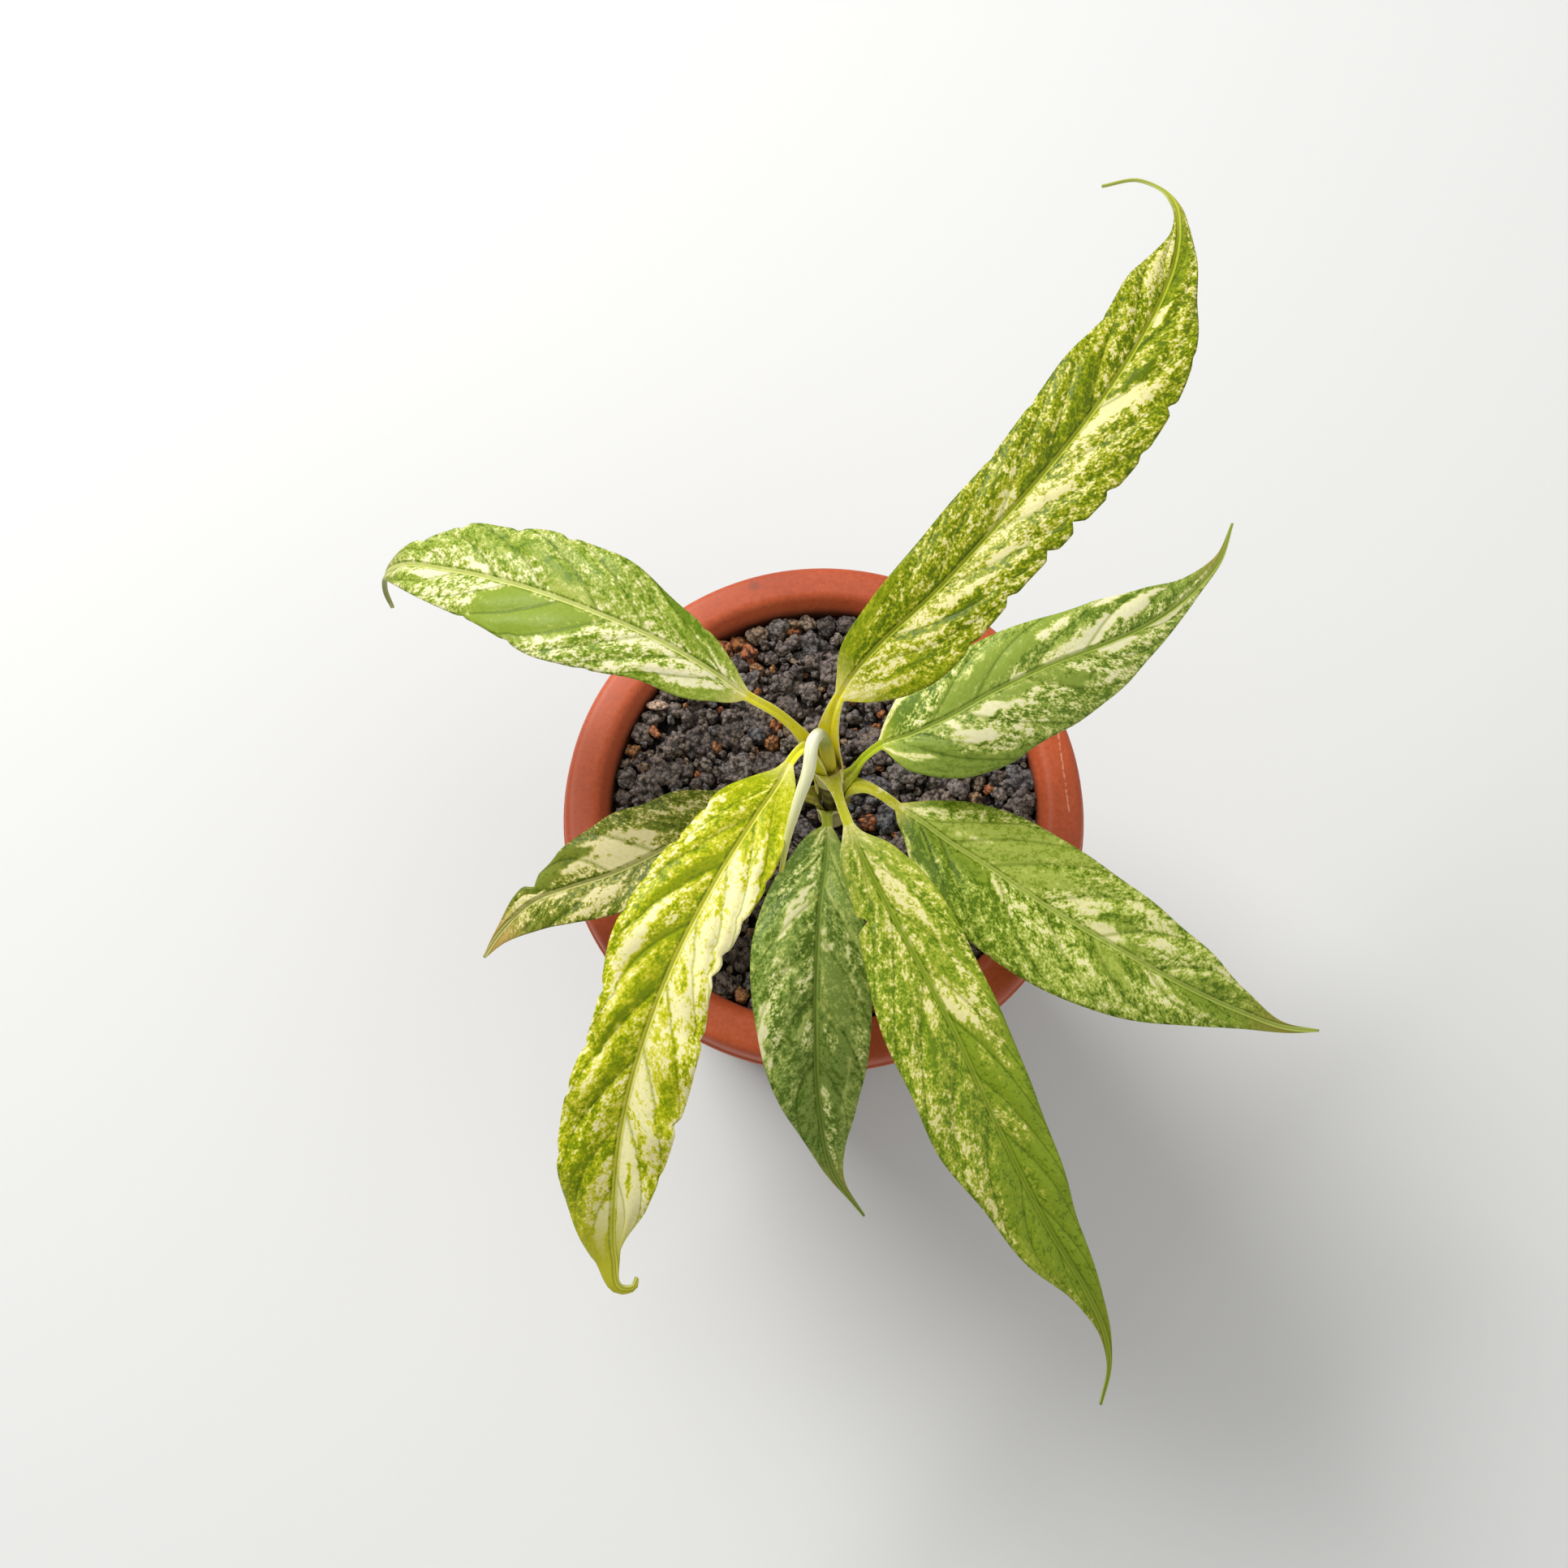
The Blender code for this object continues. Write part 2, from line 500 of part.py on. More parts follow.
def row_stations(leaf, petiole_length, blade_length):
    """Distances along the leaf at which its cross-sections lie."""
    petiole_rows = math.ceil(petiole_length / ROW_PITCH)
    blade_rows = math.ceil(blade_length / ROW_PITCH)
    petiole = np.linspace(0.0, petiole_length, petiole_rows, endpoint=False)
    parts = np.linspace(0.0, 1.0, blade_rows + 1)
    for part, _ in leaf["left_notches"] + leaf["right_notches"]:
        parts[np.argmin(np.abs(parts - part))] = part
    parts = np.sort(np.append(parts, 0.35 * parts[1]))
    return np.concatenate([petiole, petiole_length + blade_length * parts])


def half_widths(leaf, side, run, petiole_length, blade_length):
    """Half width of the leaf on one side at each distance along it."""
    _, bottom, top, clasp = leaf["sheath"]
    sheath_length = top - bottom
    clasp_width = SHEATH_RADIUS * math.radians(clasp)
    stalk = smooth([0.0, 0.7 * sheath_length, sheath_length + SHEATH_FADE, petiole_length],
                   [clasp_width, clasp_width, PETIOLE_HALF_WIDTH, leaf[side][0]], run)[:, 0]
    part = np.clip((run - petiole_length) / blade_length, 0.0, 1.0)
    blade = smooth(STATIONS, leaf[side], part)[:, 0]
    for at, depth in leaf[side + "_notches"]:
        away = np.abs(part - at) * blade_length / NOTCH_REACH
        blade -= depth * np.clip(1.0 - away, 0.0, 1.0)
    return np.where(run < petiole_length, stalk, np.maximum(blade, TIP_HALF_WIDTH))


def half_section(leaf, sign, width, part, clasping):
    """Across positions and heights of one half of a cross-section, rib first."""
    rib = min(RIB_HALF_WIDTH, 0.4 * width)
    across = np.array([0.0, rib, 0.3 * rib + 0.5 * width, width])
    u = across / width
    swell = 4 * u * (1 - u)
    height = across * (leaf["fold"] - leaf["sag"] * u) * (1 - clasping)
    if part > 0:
        taper = math.sin(math.pi * min(part, 1.0)) ** 0.5 * min(1.0, width / 6.0)
        phase = leaf["veins"] * (part - VEIN_SWEEP * u)
        height += leaf["pleat"] * taper * swell * (np.abs(np.sin(math.pi * phase)) - 0.5)
        ripple = 2 * math.pi * leaf["veins"] * part + (0.0 if sign > 0 else 1.7)
        height += leaf["wave"] * taper * u * u * math.sin(ripple)
    height[0] -= RIB_CHANNEL * (1 - clasping)
    if clasping > 0:
        bend = clasping / SHEATH_RADIUS
        height += (1 - np.cos(across * bend)) / bend
        across = np.sin(across * bend) / bend
    return across, height


def section(leaf, widths, part, clasping, run_from_base, petiole_length):
    """Upper and lower outline of one cross-section, from left to right margin."""
    left, left_height = half_section(leaf, 1, widths[0], part, clasping)
    right, right_height = half_section(leaf, -1, widths[1], part, clasping)
    across = np.concatenate([left[::-1], -right[1:]])
    height = np.concatenate([left_height[::-1], right_height[1:]])
    slope_x, slope_y = np.gradient(across), np.gradient(height)
    size = np.hypot(slope_x, slope_y)
    down_x, down_y = -slope_y / size, slope_x / size

    flat = np.concatenate([np.linspace(1, 0, len(left)), np.linspace(0, 1, len(right))[1:]])
    stalk = min(widths) < 1.3 * PETIOLE_HALF_WIDTH
    bulge = np.sqrt(np.clip(1 - flat ** 2, 0, 1)) if stalk else (flat < 0.1) * 1.0
    if part > 0:
        rib_depth = PETIOLE_DEPTH + (RIB_DEPTH_AT_TIP - PETIOLE_DEPTH) * part ** 0.5
    else:
        opening = min(1.0, run_from_base / petiole_length * 2.5)
        rib_depth = SHEATH_THICKNESS + (PETIOLE_DEPTH - SHEATH_THICKNESS) * opening
    blade_depth = BLADE_THICKNESS + (TIP_THICKNESS - BLADE_THICKNESS) * max(part, 0) ** 3
    depth = blade_depth + (rib_depth - blade_depth) * bulge
    return across, height, across + down_x * depth, height + down_y * depth


def leaf_rings(leaf):
    """Closed outlines of the leaf, one row of points for each cross-section."""
    line, run, petiole_length = centre_line(leaf)
    blade_length = run[-1] - petiole_length
    lateral, normal = leaf_frames(line, run, petiole_length)
    rows = np.sort(row_stations(leaf, petiole_length, blade_length))
    sheath_length = leaf["sheath"][2] - leaf["sheath"][1]
    widths = [half_widths(leaf, side, rows, petiole_length, blade_length)
              for side in ("left", "right")]
    rings = []
    for number, row in enumerate(rows):
        here, side, up = (np.array([np.interp(row, run, values[:, k]) for k in range(3)])
                          for values in (line, lateral, normal))
        part = (row - petiole_length) / blade_length
        clasping = float(np.clip(1 - (row - SHEATH_CLASPS * sheath_length) / SHEATH_FADE, 0, 1))
        top_x, top_y, low_x, low_y = section(
            leaf, (widths[0][number], widths[1][number]), part, clasping, row, petiole_length)
        top = here + np.outer(top_x, side) + np.outer(top_y, up)
        low = here + np.outer(low_x, side) + np.outer(low_y, up)
        rings.append(np.vstack([top, low[::-1]]))
    return rings


def closed_loft(rings):
    """Skin over closed outlines; each end is drawn together on its middle line."""
    points = len(rings[0])
    half = points // 2
    columns = points + 1
    first, last = (0.5 * (ring + ring[::-1]) for ring in (rings[0], rings[-1]))
    tip = np.repeat([rings[-1].mean(axis=0) * 1.2 - rings[-2].mean(axis=0) * 0.2],
                    points, axis=0)
    rows = [first] + rings + [tip]
    bm = bmesh.new()
    bmesh.ops.create_grid(bm, x_segments=points, y_segments=len(rows) - 1, size=1.0)
    bm.verts.ensure_lookup_table()
    upper, lower, sides = [], [], []
    for face in bm.faces:
        column = min(v.index % columns for v in face.verts)
        if column < half - 1:
            upper.append(face)
        elif half <= column < points - 1:
            lower.append(face)
        else:
            sides.append(face)
    bmesh.ops.triangulate(bm, faces=upper + sides, quad_method="FIXED")
    bmesh.ops.triangulate(bm, faces=lower, quad_method="ALTERNATE")
    bm.verts.ensure_lookup_table()
    for number, ring in enumerate(rows):
        for column in range(columns):
            bm.verts[number * columns + column].co = Vector(ring[column % points])
    bmesh.ops.remove_doubles(bm, verts=bm.verts, dist=0.001)
    bmesh.ops.recalc_face_normals(bm, faces=bm.faces)
    return bm


def build_leaf(name, leaf):
    bm = closed_loft(leaf_rings(leaf))
    obj = add_object(name, bm, material(name + "_green", leaf["colour"], 0.38))
    shade(obj, 60)


def build_rolled_leaf():
    knots = lengths(np.array(ROLLED_RIB))
    at = np.linspace(0.0, knots[-1], ROLLED_ROWS)
    line = smooth(knots, ROLLED_RIB, at)
    radii = smooth(knots, ROLLED_RADII, at)
    along, lateral = frames(line, ROLLED_ROWS // 2)
    normal = np.cross(along, lateral)
    angles = math.pi - math.tau * (np.arange(ROLLED_SIDES) + 0.5) / ROLLED_SIDES
    rings = [line[row] + radii[row] * (np.outer(np.cos(angles), lateral[row])
                                       + np.outer(np.sin(angles), normal[row]))
             for row in range(ROLLED_ROWS)]
    bm = closed_loft(rings)
    obj = add_object("rolled_leaf", bm, material("rolled_leaf_pale", (0.66, 0.72, 0.46), 0.45))
    shade(obj, 60)


def main():
    clear_scene()
    build_pot()
    build_gravel()
    build_stem()
    for name, leaf in LEAVES.items():
        build_leaf(name, leaf)
    build_rolled_leaf()


main()
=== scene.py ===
"""Looks of a potted aglaonema: pot, volcanic gravel, cane, leaves and a small studio.

Shapes are worked out in millimetres and written in metres, in the frame of the
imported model: +Z up, the origin at the centre of the pot's underside, -Y to the
plant's front. Run as a script it builds every piece and the studio.
"""

import math
import random

import bmesh
import bpy
import numpy as np
from mathutils import Matrix, Vector, noise


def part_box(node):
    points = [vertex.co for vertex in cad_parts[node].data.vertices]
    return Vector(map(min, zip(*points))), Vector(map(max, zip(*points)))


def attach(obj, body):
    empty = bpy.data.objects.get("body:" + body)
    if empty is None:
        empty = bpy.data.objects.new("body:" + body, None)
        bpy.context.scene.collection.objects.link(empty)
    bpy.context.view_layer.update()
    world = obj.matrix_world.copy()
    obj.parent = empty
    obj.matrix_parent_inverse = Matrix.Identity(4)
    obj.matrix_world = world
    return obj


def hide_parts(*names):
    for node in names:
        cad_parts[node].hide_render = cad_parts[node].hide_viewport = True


bl_info = {
    "name": "Potted aglaonema",
    "version": (1, 0, 0),
    "blender": (4, 5, 0),
    "location": "View3D > Sidebar > Aglaonema",
    "description": "Builds a variegated aglaonema in a round pot of volcanic gravel",
    "category": "Add Mesh",
}

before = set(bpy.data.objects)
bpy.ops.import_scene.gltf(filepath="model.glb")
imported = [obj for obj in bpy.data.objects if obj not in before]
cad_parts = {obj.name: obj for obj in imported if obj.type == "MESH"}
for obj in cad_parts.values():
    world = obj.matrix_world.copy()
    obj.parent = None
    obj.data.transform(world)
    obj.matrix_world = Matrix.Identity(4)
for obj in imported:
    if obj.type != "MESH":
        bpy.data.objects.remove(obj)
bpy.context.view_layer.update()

MM = 0.001

# Pot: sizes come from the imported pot, the rest are the moulding's own
POT_LOW, POT_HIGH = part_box("pot")
POT_HEIGHT = POT_HIGH[2] / MM
RIM_LIP = 0.5                  # the skirt's bead stands out this far
RIM_RADIUS = POT_HIGH[0] / MM - RIM_LIP
POT_SIDES = 160
RIM_CREASE_RADIUS = 56.2
RIM_DEPTH = 8.0
MOUTH_RADIUS = 53.6
MOUTH_DROP = 3.5
WALL = 2.0
FOOT_RADIUS = 44.0
FLOOR = 3.0
FOOT_RECESS = 1.5
CENTRE_PAD_RADIUS = 18.0
DRAIN_HOLES = 6
DRAIN_HOLE_RADIUS = 4.0
DRAIN_RING_RADIUS = 29.0
SCUFF_MIDDLE = (60.0, 10.5)    # a pale scratch across the top of the rim, almost along Y
SCUFF_HALF_LENGTH = 12.0
SCUFF_LEAN = 0.105
SMUDGE_PLACE = (-17.5, 59.4, 114.8)

# Gravel: three sizes of stones that lean on each other and on the wall, on a rough bed.
# size: least and greatest mean radius, tries, highest top, spread of the tops, and faces
BED_TOP = 107.0
STONE_SIZES = {
    "big": ((3.2, 5.4), 400, 113.0, 1.0, 4),
    "middle": ((1.7, 3.0), 3200, 112.2, 1.1, 3),
    "small": ((0.8, 1.6), 5000, 111.4, 1.3, 3),
}
STONE_CLOSENESS = 0.80         # part of two radii that their centres keep apart
STONE_SEED = 23
STEM_FREE_RADIUS = 3.4
CHIP_PLACE = (-42.1, 28.1, 111.6)
CHIP_RADII = (2.9, 1.3, 0.6)

# Stem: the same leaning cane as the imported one
STEM_FOOT = (3.8, -0.3, 78.0)
STEM_TOP = (0.6, -0.3, 150.0)
STEM_RADIUS = 2.2
STEM_SIDES = 40
SCAR_PITCH = 6.0
SCAR_RISE = 0.15
GAP = 0.3

# Leaves: sizes that all of them share
ROW_PITCH = 0.9                # spacing of cross-sections along a leaf
COLUMNS = 22                   # points of a cross-section from its rib to a margin
BLADE_THICKNESS = 0.55
EDGE_THICKNESS = 0.25
SHEATH_THICKNESS = 0.7
PETIOLE_DEPTH = 1.8
RIB_DEPTH_AT_TIP = 0.8
RIB_SPREAD = 1.0               # how far from the centre line the rib's swelling reaches
RIB_CHANNEL = 0.35
RIB_RIDGE = 0.12
TIP_HALF_WIDTH = 0.3
SHEATH_RADIUS = STEM_RADIUS + SCAR_RISE + 1.5 * GAP
SHEATH_CLASPS = 0.6
LEVEL_AT = 0.3
LINE_POINTS = 1200
NOTCH_REACH = 2.1
VEIN_LEAN = 0.154              # tipward run of a side vein, as part of the blade's length
VEIN_BEND = 0.064              # and how much more it runs tipward at the margin
VEIN_LINE = 1.1                # half width of a side vein's line, measured along the rib
VEIN_DEPTH = 0.8               # how far the side veins sink, and how much painted shade darkens their grooves
PATCH_FRAY = 2.0               # how far a patch's ends wander, in mm along the rib
PATCH_DRIFT = 0.09             # how far its sides wander, as part of the half width
PATCH_EDGE = 0.06              # width of its soft sides, as part of the half width
WING_EDGE_TONE = 0.45          # how much creamier the edges of petiole and sheath are

# Speckles of the marbling: length along the veins, width across them, and contrast
SPECKS = ((3.6, 2.0, 1.2), (1.6, 1.0, 1.3), (0.7, 0.5, 1.3))

# Half widths are given at these parts of the blade's length
STATIONS = (0.0, 0.02, 0.05, 0.1, 0.2, 0.3, 0.4, 0.5, 0.6, 0.7, 0.8, 0.9, 1.0)

# sheath: azimuth on the stem, bottom and top height, half angle that it clasps, and how
#   far outside the innermost sheath it lies
# stalk: half width of the petiole, and the part of its length where the sheath's wings end
# petiole, rib: points of the leaf's centre line, the blade starts with rib
# left, right: half widths of the blade seen from the stem towards the tip
# fold, sag: slope by which each half rises from the rib, and by which it drops
# veins, pleat: side veins along the blade and height of the blade between them
# wave: height of the margin's waves
# notches: part of the blade's length and depth, for those that a margin has
# vein_starts: part of the blade's length at which side veins leave the rib
LEAVES = {
    "leaf_back": dict(
        sheath=(70.0, 142.0, 150.0, 80.0, 0.2), stalk=(1.75, 0.9),
        petiole=[(0.8, 4.2, 157.0), (1.0, 6.6, 164.0)],
        rib=[(2.8, 10.0, 171.0), (6.0, 14.0, 175.5), (11.5, 19.3, 180.0),
             (24.0, 29.3, 187.0), (36.0, 41.2, 192.0), (48.3, 54.6, 195.0),
             (60.0, 69.5, 196.0), (70.0, 85.0, 195.0), (78.5, 102.0, 191.0),
             (83.0, 115.0, 185.5), (85.0, 127.0, 180.0), (85.0, 135.0, 175.5),
             (82.5, 141.3, 172.0), (77.0, 145.0, 170.0), (68.5, 145.0, 167.0)],
        left=[1.1, 2.8, 6.0, 8.3, 10.8, 11.4, 12.0, 12.7, 10.2, 8.8, 2.2, 0.5, 0.3],
        right=[1.1, 6.4, 11.2, 15.4, 14.8, 14.4, 15.4, 15.8, 13.4, 7.4, 3.4, 0.6, 0.3],
        fold=0.42, sag=0.30, veins=8, pleat=0.8, wave=0.8,
        left_notches=[(0.35, 0.4), (0.44, 0.5), (0.60, 0.4)],
        right_notches=[(0.17, 1.0), (0.236, 1.5), (0.307, 1.9), (0.351, 2.2),
                       (0.405, 1.4), (0.463, 0.9), (0.53, 1.7), (0.60, 0.4)]),
    "leaf_right_back": dict(
        sheath=(30.0, 125.6, 132.5, 50.0, 0.4), stalk=(1.2, 0.6),
        petiole=[(6.4, 2.2, 137.0), (9.6, 4.8, 142.5)],
        rib=[(13.2, 6.8, 145.0), (20.0, 8.4, 148.0), (27.2, 11.1, 150.0),
             (40.6, 18.2, 152.0), (54.0, 24.8, 152.0), (68.0, 31.0, 150.0),
             (80.0, 38.0, 146.5), (90.0, 46.5, 143.5), (97.5, 56.0, 141.0),
             (101.6, 67.0, 138.0)],
        left=[1.0, 4.5, 8.4, 10.4, 12.2, 12.9, 12.0, 11.2, 10.5, 8.0, 4.0, 1.4, 0.3],
        right=[1.0, 4.5, 8.5, 13.1, 17.3, 16.6, 15.8, 12.8, 7.9, 4.0, 1.4, 0.6, 0.3],
        fold=0.25, sag=0.22, veins=6, pleat=0.5, wave=0.4,
        left_notches=[], right_notches=[]),
    "leaf_right_front": dict(
        sheath=(-5.0, 122.0, 131.0, 62.0, 0.9), stalk=(1.45, 0.7),
        petiole=[(6.4, -0.6, 135.5), (9.6, -1.2, 137.0), (13.4, -3.4, 138.0)],
        rib=[(17.3, -6.4, 138.0), (22.0, -10.1, 140.0), (29.2, -15.9, 141.0),
             (39.0, -22.8, 142.0), (53.3, -32.7, 141.0), (70.0, -41.8, 137.0),
             (86.5, -49.2, 130.0), (100.0, -53.4, 122.5), (113.0, -56.0, 115.0),
             (121.0, -56.0, 112.0)],
        left=[1.0, 2.9, 5.6, 10.2, 14.2, 15.9, 15.9, 14.9, 13.0, 10.4, 5.8, 1.6, 0.3],
        right=[1.0, 3.2, 5.6, 9.9, 15.4, 18.0, 18.0, 16.7, 13.6, 8.8, 4.7, 1.8, 0.3],
        fold=0.25, sag=0.25, veins=6, pleat=0.6, wave=0.4,
        left_notches=[], right_notches=[]),
    "leaf_front_right": dict(
        sheath=(-82.0, 145.0, 154.0, 52.0, 0.9), stalk=(1.4, 0.62),
        petiole=[(1.6, -5.6, 155.4), (2.4, -8.2, 156.0), (3.4, -11.9, 157.4)],
        rib=[(4.9, -16.7, 159.0), (7.3, -23.8, 161.0), (15.0, -39.6, 162.0),
             (21.5, -52.0, 161.0), (27.2, -62.8, 159.0), (39.5, -87.5, 149.0),
             (50.0, -106.0, 138.0), (61.5, -122.5, 125.0), (65.5, -130.0, 118.0),
             (66.8, -137.0, 112.5), (65.3, -145.3, 106.0)],
        left=[1.1, 2.3, 6.4, 10.0, 12.4, 11.9, 11.6, 10.8, 9.5, 6.5, 3.5, 1.0, 0.3],
        right=[1.1, 2.4, 4.8, 6.4, 11.0, 15.2, 15.3, 15.2, 11.4, 8.8, 3.6, 0.9, 0.3],
        fold=0.30, sag=0.25, veins=7, pleat=0.7, wave=0.5,
        left_notches=[], right_notches=[(0.15, 3.2)]),
    "leaf_front": dict(
        sheath=(-100.0, 113.0, 121.0, 60.0, 0.9), stalk=(1.45, 0.8),
        petiole=[(0.3, -6.0, 131.0)],
        rib=[(0.5, -10.6, 135.5), (0.0, -20.3, 138.0), (-1.2, -30.0, 139.5),
             (-2.2, -45.0, 138.7), (-2.5, -60.0, 135.0), (-1.5, -78.0, 126.0),
             (2.0, -92.0, 116.0), (9.4, -100.8, 108.0)],
        left=[1.0, 1.9, 3.4, 5.4, 9.4, 12.1, 13.3, 13.1, 11.8, 8.6, 4.6, 1.4, 0.3],
        right=[1.0, 3.6, 6.2, 8.8, 13.0, 15.5, 15.5, 14.0, 11.9, 8.0, 3.4, 0.9, 0.3],
        fold=0.28, sag=0.25, veins=6, pleat=0.5, wave=0.4,
        left_notches=[], right_notches=[]),
    "leaf_front_left": dict(
        sheath=(195.0, 144.0, 151.0, 72.0, 0.1), stalk=(1.2, 0.85),
        petiole=[(-2.9, -0.3, 157.0), (-4.6, -0.4, 166.0), (-6.6, -3.0, 171.0)],
        rib=[(-8.8, -6.7, 173.3), (-10.7, -11.2, 175.3), (-16.0, -20.3, 178.0),
             (-25.5, -37.1, 181.0), (-34.4, -54.8, 180.0), (-41.0, -71.2, 175.0),
             (-45.9, -87.5, 166.0), (-48.3, -103.5, 155.0), (-48.5, -115.5, 144.5),
             (-46.6, -121.8, 139.5), (-44.4, -121.5, 139.3), (-43.4, -119.5, 139.5)],
        left=[1.1, 2.4, 4.6, 7.6, 10.6, 10.6, 10.4, 13.0, 13.3, 11.8, 8.0, 1.4, 0.3],
        right=[1.1, 2.2, 5.3, 9.3, 12.0, 14.6, 15.0, 12.2, 13.2, 13.8, 11.6, 5.6, 0.4],
        fold=0.42, sag=0.32, veins=8, pleat=1.0, wave=0.9,
        left_notches=[(0.13, 0.7), (0.21, 0.8), (0.29, 0.7), (0.35, 1.2), (0.39, 1.0),
                      (0.49, 0.8), (0.64, 1.3), (0.74, 0.4)],
        right_notches=[(0.15, 0.8), (0.22, 0.9), (0.29, 0.8), (0.35, 0.8), (0.47, 0.9),
                       (0.56, 0.8), (0.63, 0.6), (0.73, 0.6)]),
    "leaf_left": dict(
        sheath=(178.0, 117.0, 125.0, 50.0, 0.6), stalk=(1.0, 0.6),
        petiole=[(-5.6, -0.8, 129.5), (-10.5, -2.7, 134.0)],
        rib=[(-17.0, -5.8, 136.0), (-26.0, -10.3, 137.0), (-35.7, -15.2, 137.0),
             (-51.6, -22.3, 134.0), (-62.0, -24.9, 131.0), (-70.0, -27.0, 127.5),
             (-79.0, -33.6, 122.0), (-83.5, -38.8, 117.0)],
        left=[1.0, 2.5, 5.5, 9.5, 12.0, 12.6, 11.3, 9.9, 9.2, 8.1, 6.5, 3.0, 0.3],
        right=[1.0, 3.5, 6.0, 8.0, 11.4, 12.2, 13.3, 12.6, 9.9, 6.0, 3.7, 1.4, 0.3],
        fold=0.30, sag=0.22, veins=5, pleat=0.5, wave=0.6,
        left_notches=[], right_notches=[(0.73, 2.2)]),
    "leaf_left_back": dict(
        sheath=(148.0, 133.0, 141.0, 60.0, 0.5), stalk=(1.35, 0.7),
        petiole=[(-3.9, 3.1, 155.0), (-7.0, 4.3, 164.5), (-11.8, 6.4, 171.0)],
        rib=[(-18.4, 8.9, 175.5), (-25.2, 12.8, 179.0), (-39.0, 20.3, 182.0),
             (-53.0, 26.8, 182.0), (-67.0, 33.3, 179.0), (-79.5, 38.7, 174.0),
             (-91.5, 43.7, 167.0), (-101.0, 47.0, 161.0), (-106.0, 47.6, 154.0),
             (-107.3, 46.0, 147.0), (-106.3, 43.6, 141.0)],
        left=[1.1, 3.5, 5.8, 8.8, 10.8, 13.5, 15.6, 13.7, 11.2, 9.4, 6.2, 1.8, 0.4],
        right=[1.1, 2.1, 4.0, 6.7, 9.8, 14.1, 15.2, 14.9, 13.5, 11.9, 6.2, 1.6, 0.4],
        fold=0.28, sag=0.26, veins=6, pleat=0.8, wave=0.6,
        left_notches=[(0.31, 0.4), (0.48, 0.6), (0.60, 0.5)],
        right_notches=[(0.14, 0.5), (0.455, 0.9), (0.57, 0.7), (0.70, 1.0), (0.78, 1.0)]),
}

# Where the side veins leave the rib, for each leaf and side
VEIN_STARTS = {
    "leaf_back": ([0.06, 0.17, 0.29, 0.38, 0.47, 0.57, 0.68, 0.78],
                  [0.04, 0.10, 0.19, 0.28, 0.38, 0.48, 0.58, 0.69, 0.79]),
    "leaf_right_back": ([0.03, 0.11, 0.22, 0.36, 0.48, 0.60, 0.74],
                        [0.02, 0.08, 0.18, 0.34, 0.47, 0.62, 0.75]),
    "leaf_right_front": ([0.05, 0.13, 0.22, 0.34, 0.47, 0.60, 0.73],
                         [0.04, 0.10, 0.24, 0.35, 0.45, 0.58, 0.72]),
    "leaf_front_right": ([0.04, 0.14, 0.24, 0.32, 0.41, 0.50, 0.62, 0.74],
                         [0.05, 0.15, 0.25, 0.36, 0.47, 0.58, 0.70]),
    "leaf_front": ([0.05, 0.16, 0.28, 0.42, 0.57, 0.72],
                   [0.06, 0.18, 0.29, 0.42, 0.57, 0.72]),
    "leaf_front_left": ([0.04, 0.12, 0.21, 0.31, 0.42, 0.53, 0.64, 0.75],
                        [0.03, 0.11, 0.21, 0.32, 0.43, 0.55, 0.66, 0.77]),
    "leaf_left": ([0.06, 0.22, 0.38, 0.52, 0.68, 0.82],
                  [0.06, 0.20, 0.33, 0.48, 0.66, 0.82]),
    "leaf_left_back": ([0.04, 0.13, 0.22, 0.30, 0.41, 0.53, 0.66, 0.79],
                       [0.04, 0.13, 0.22, 0.33, 0.45, 0.56, 0.68, 0.80]),
}
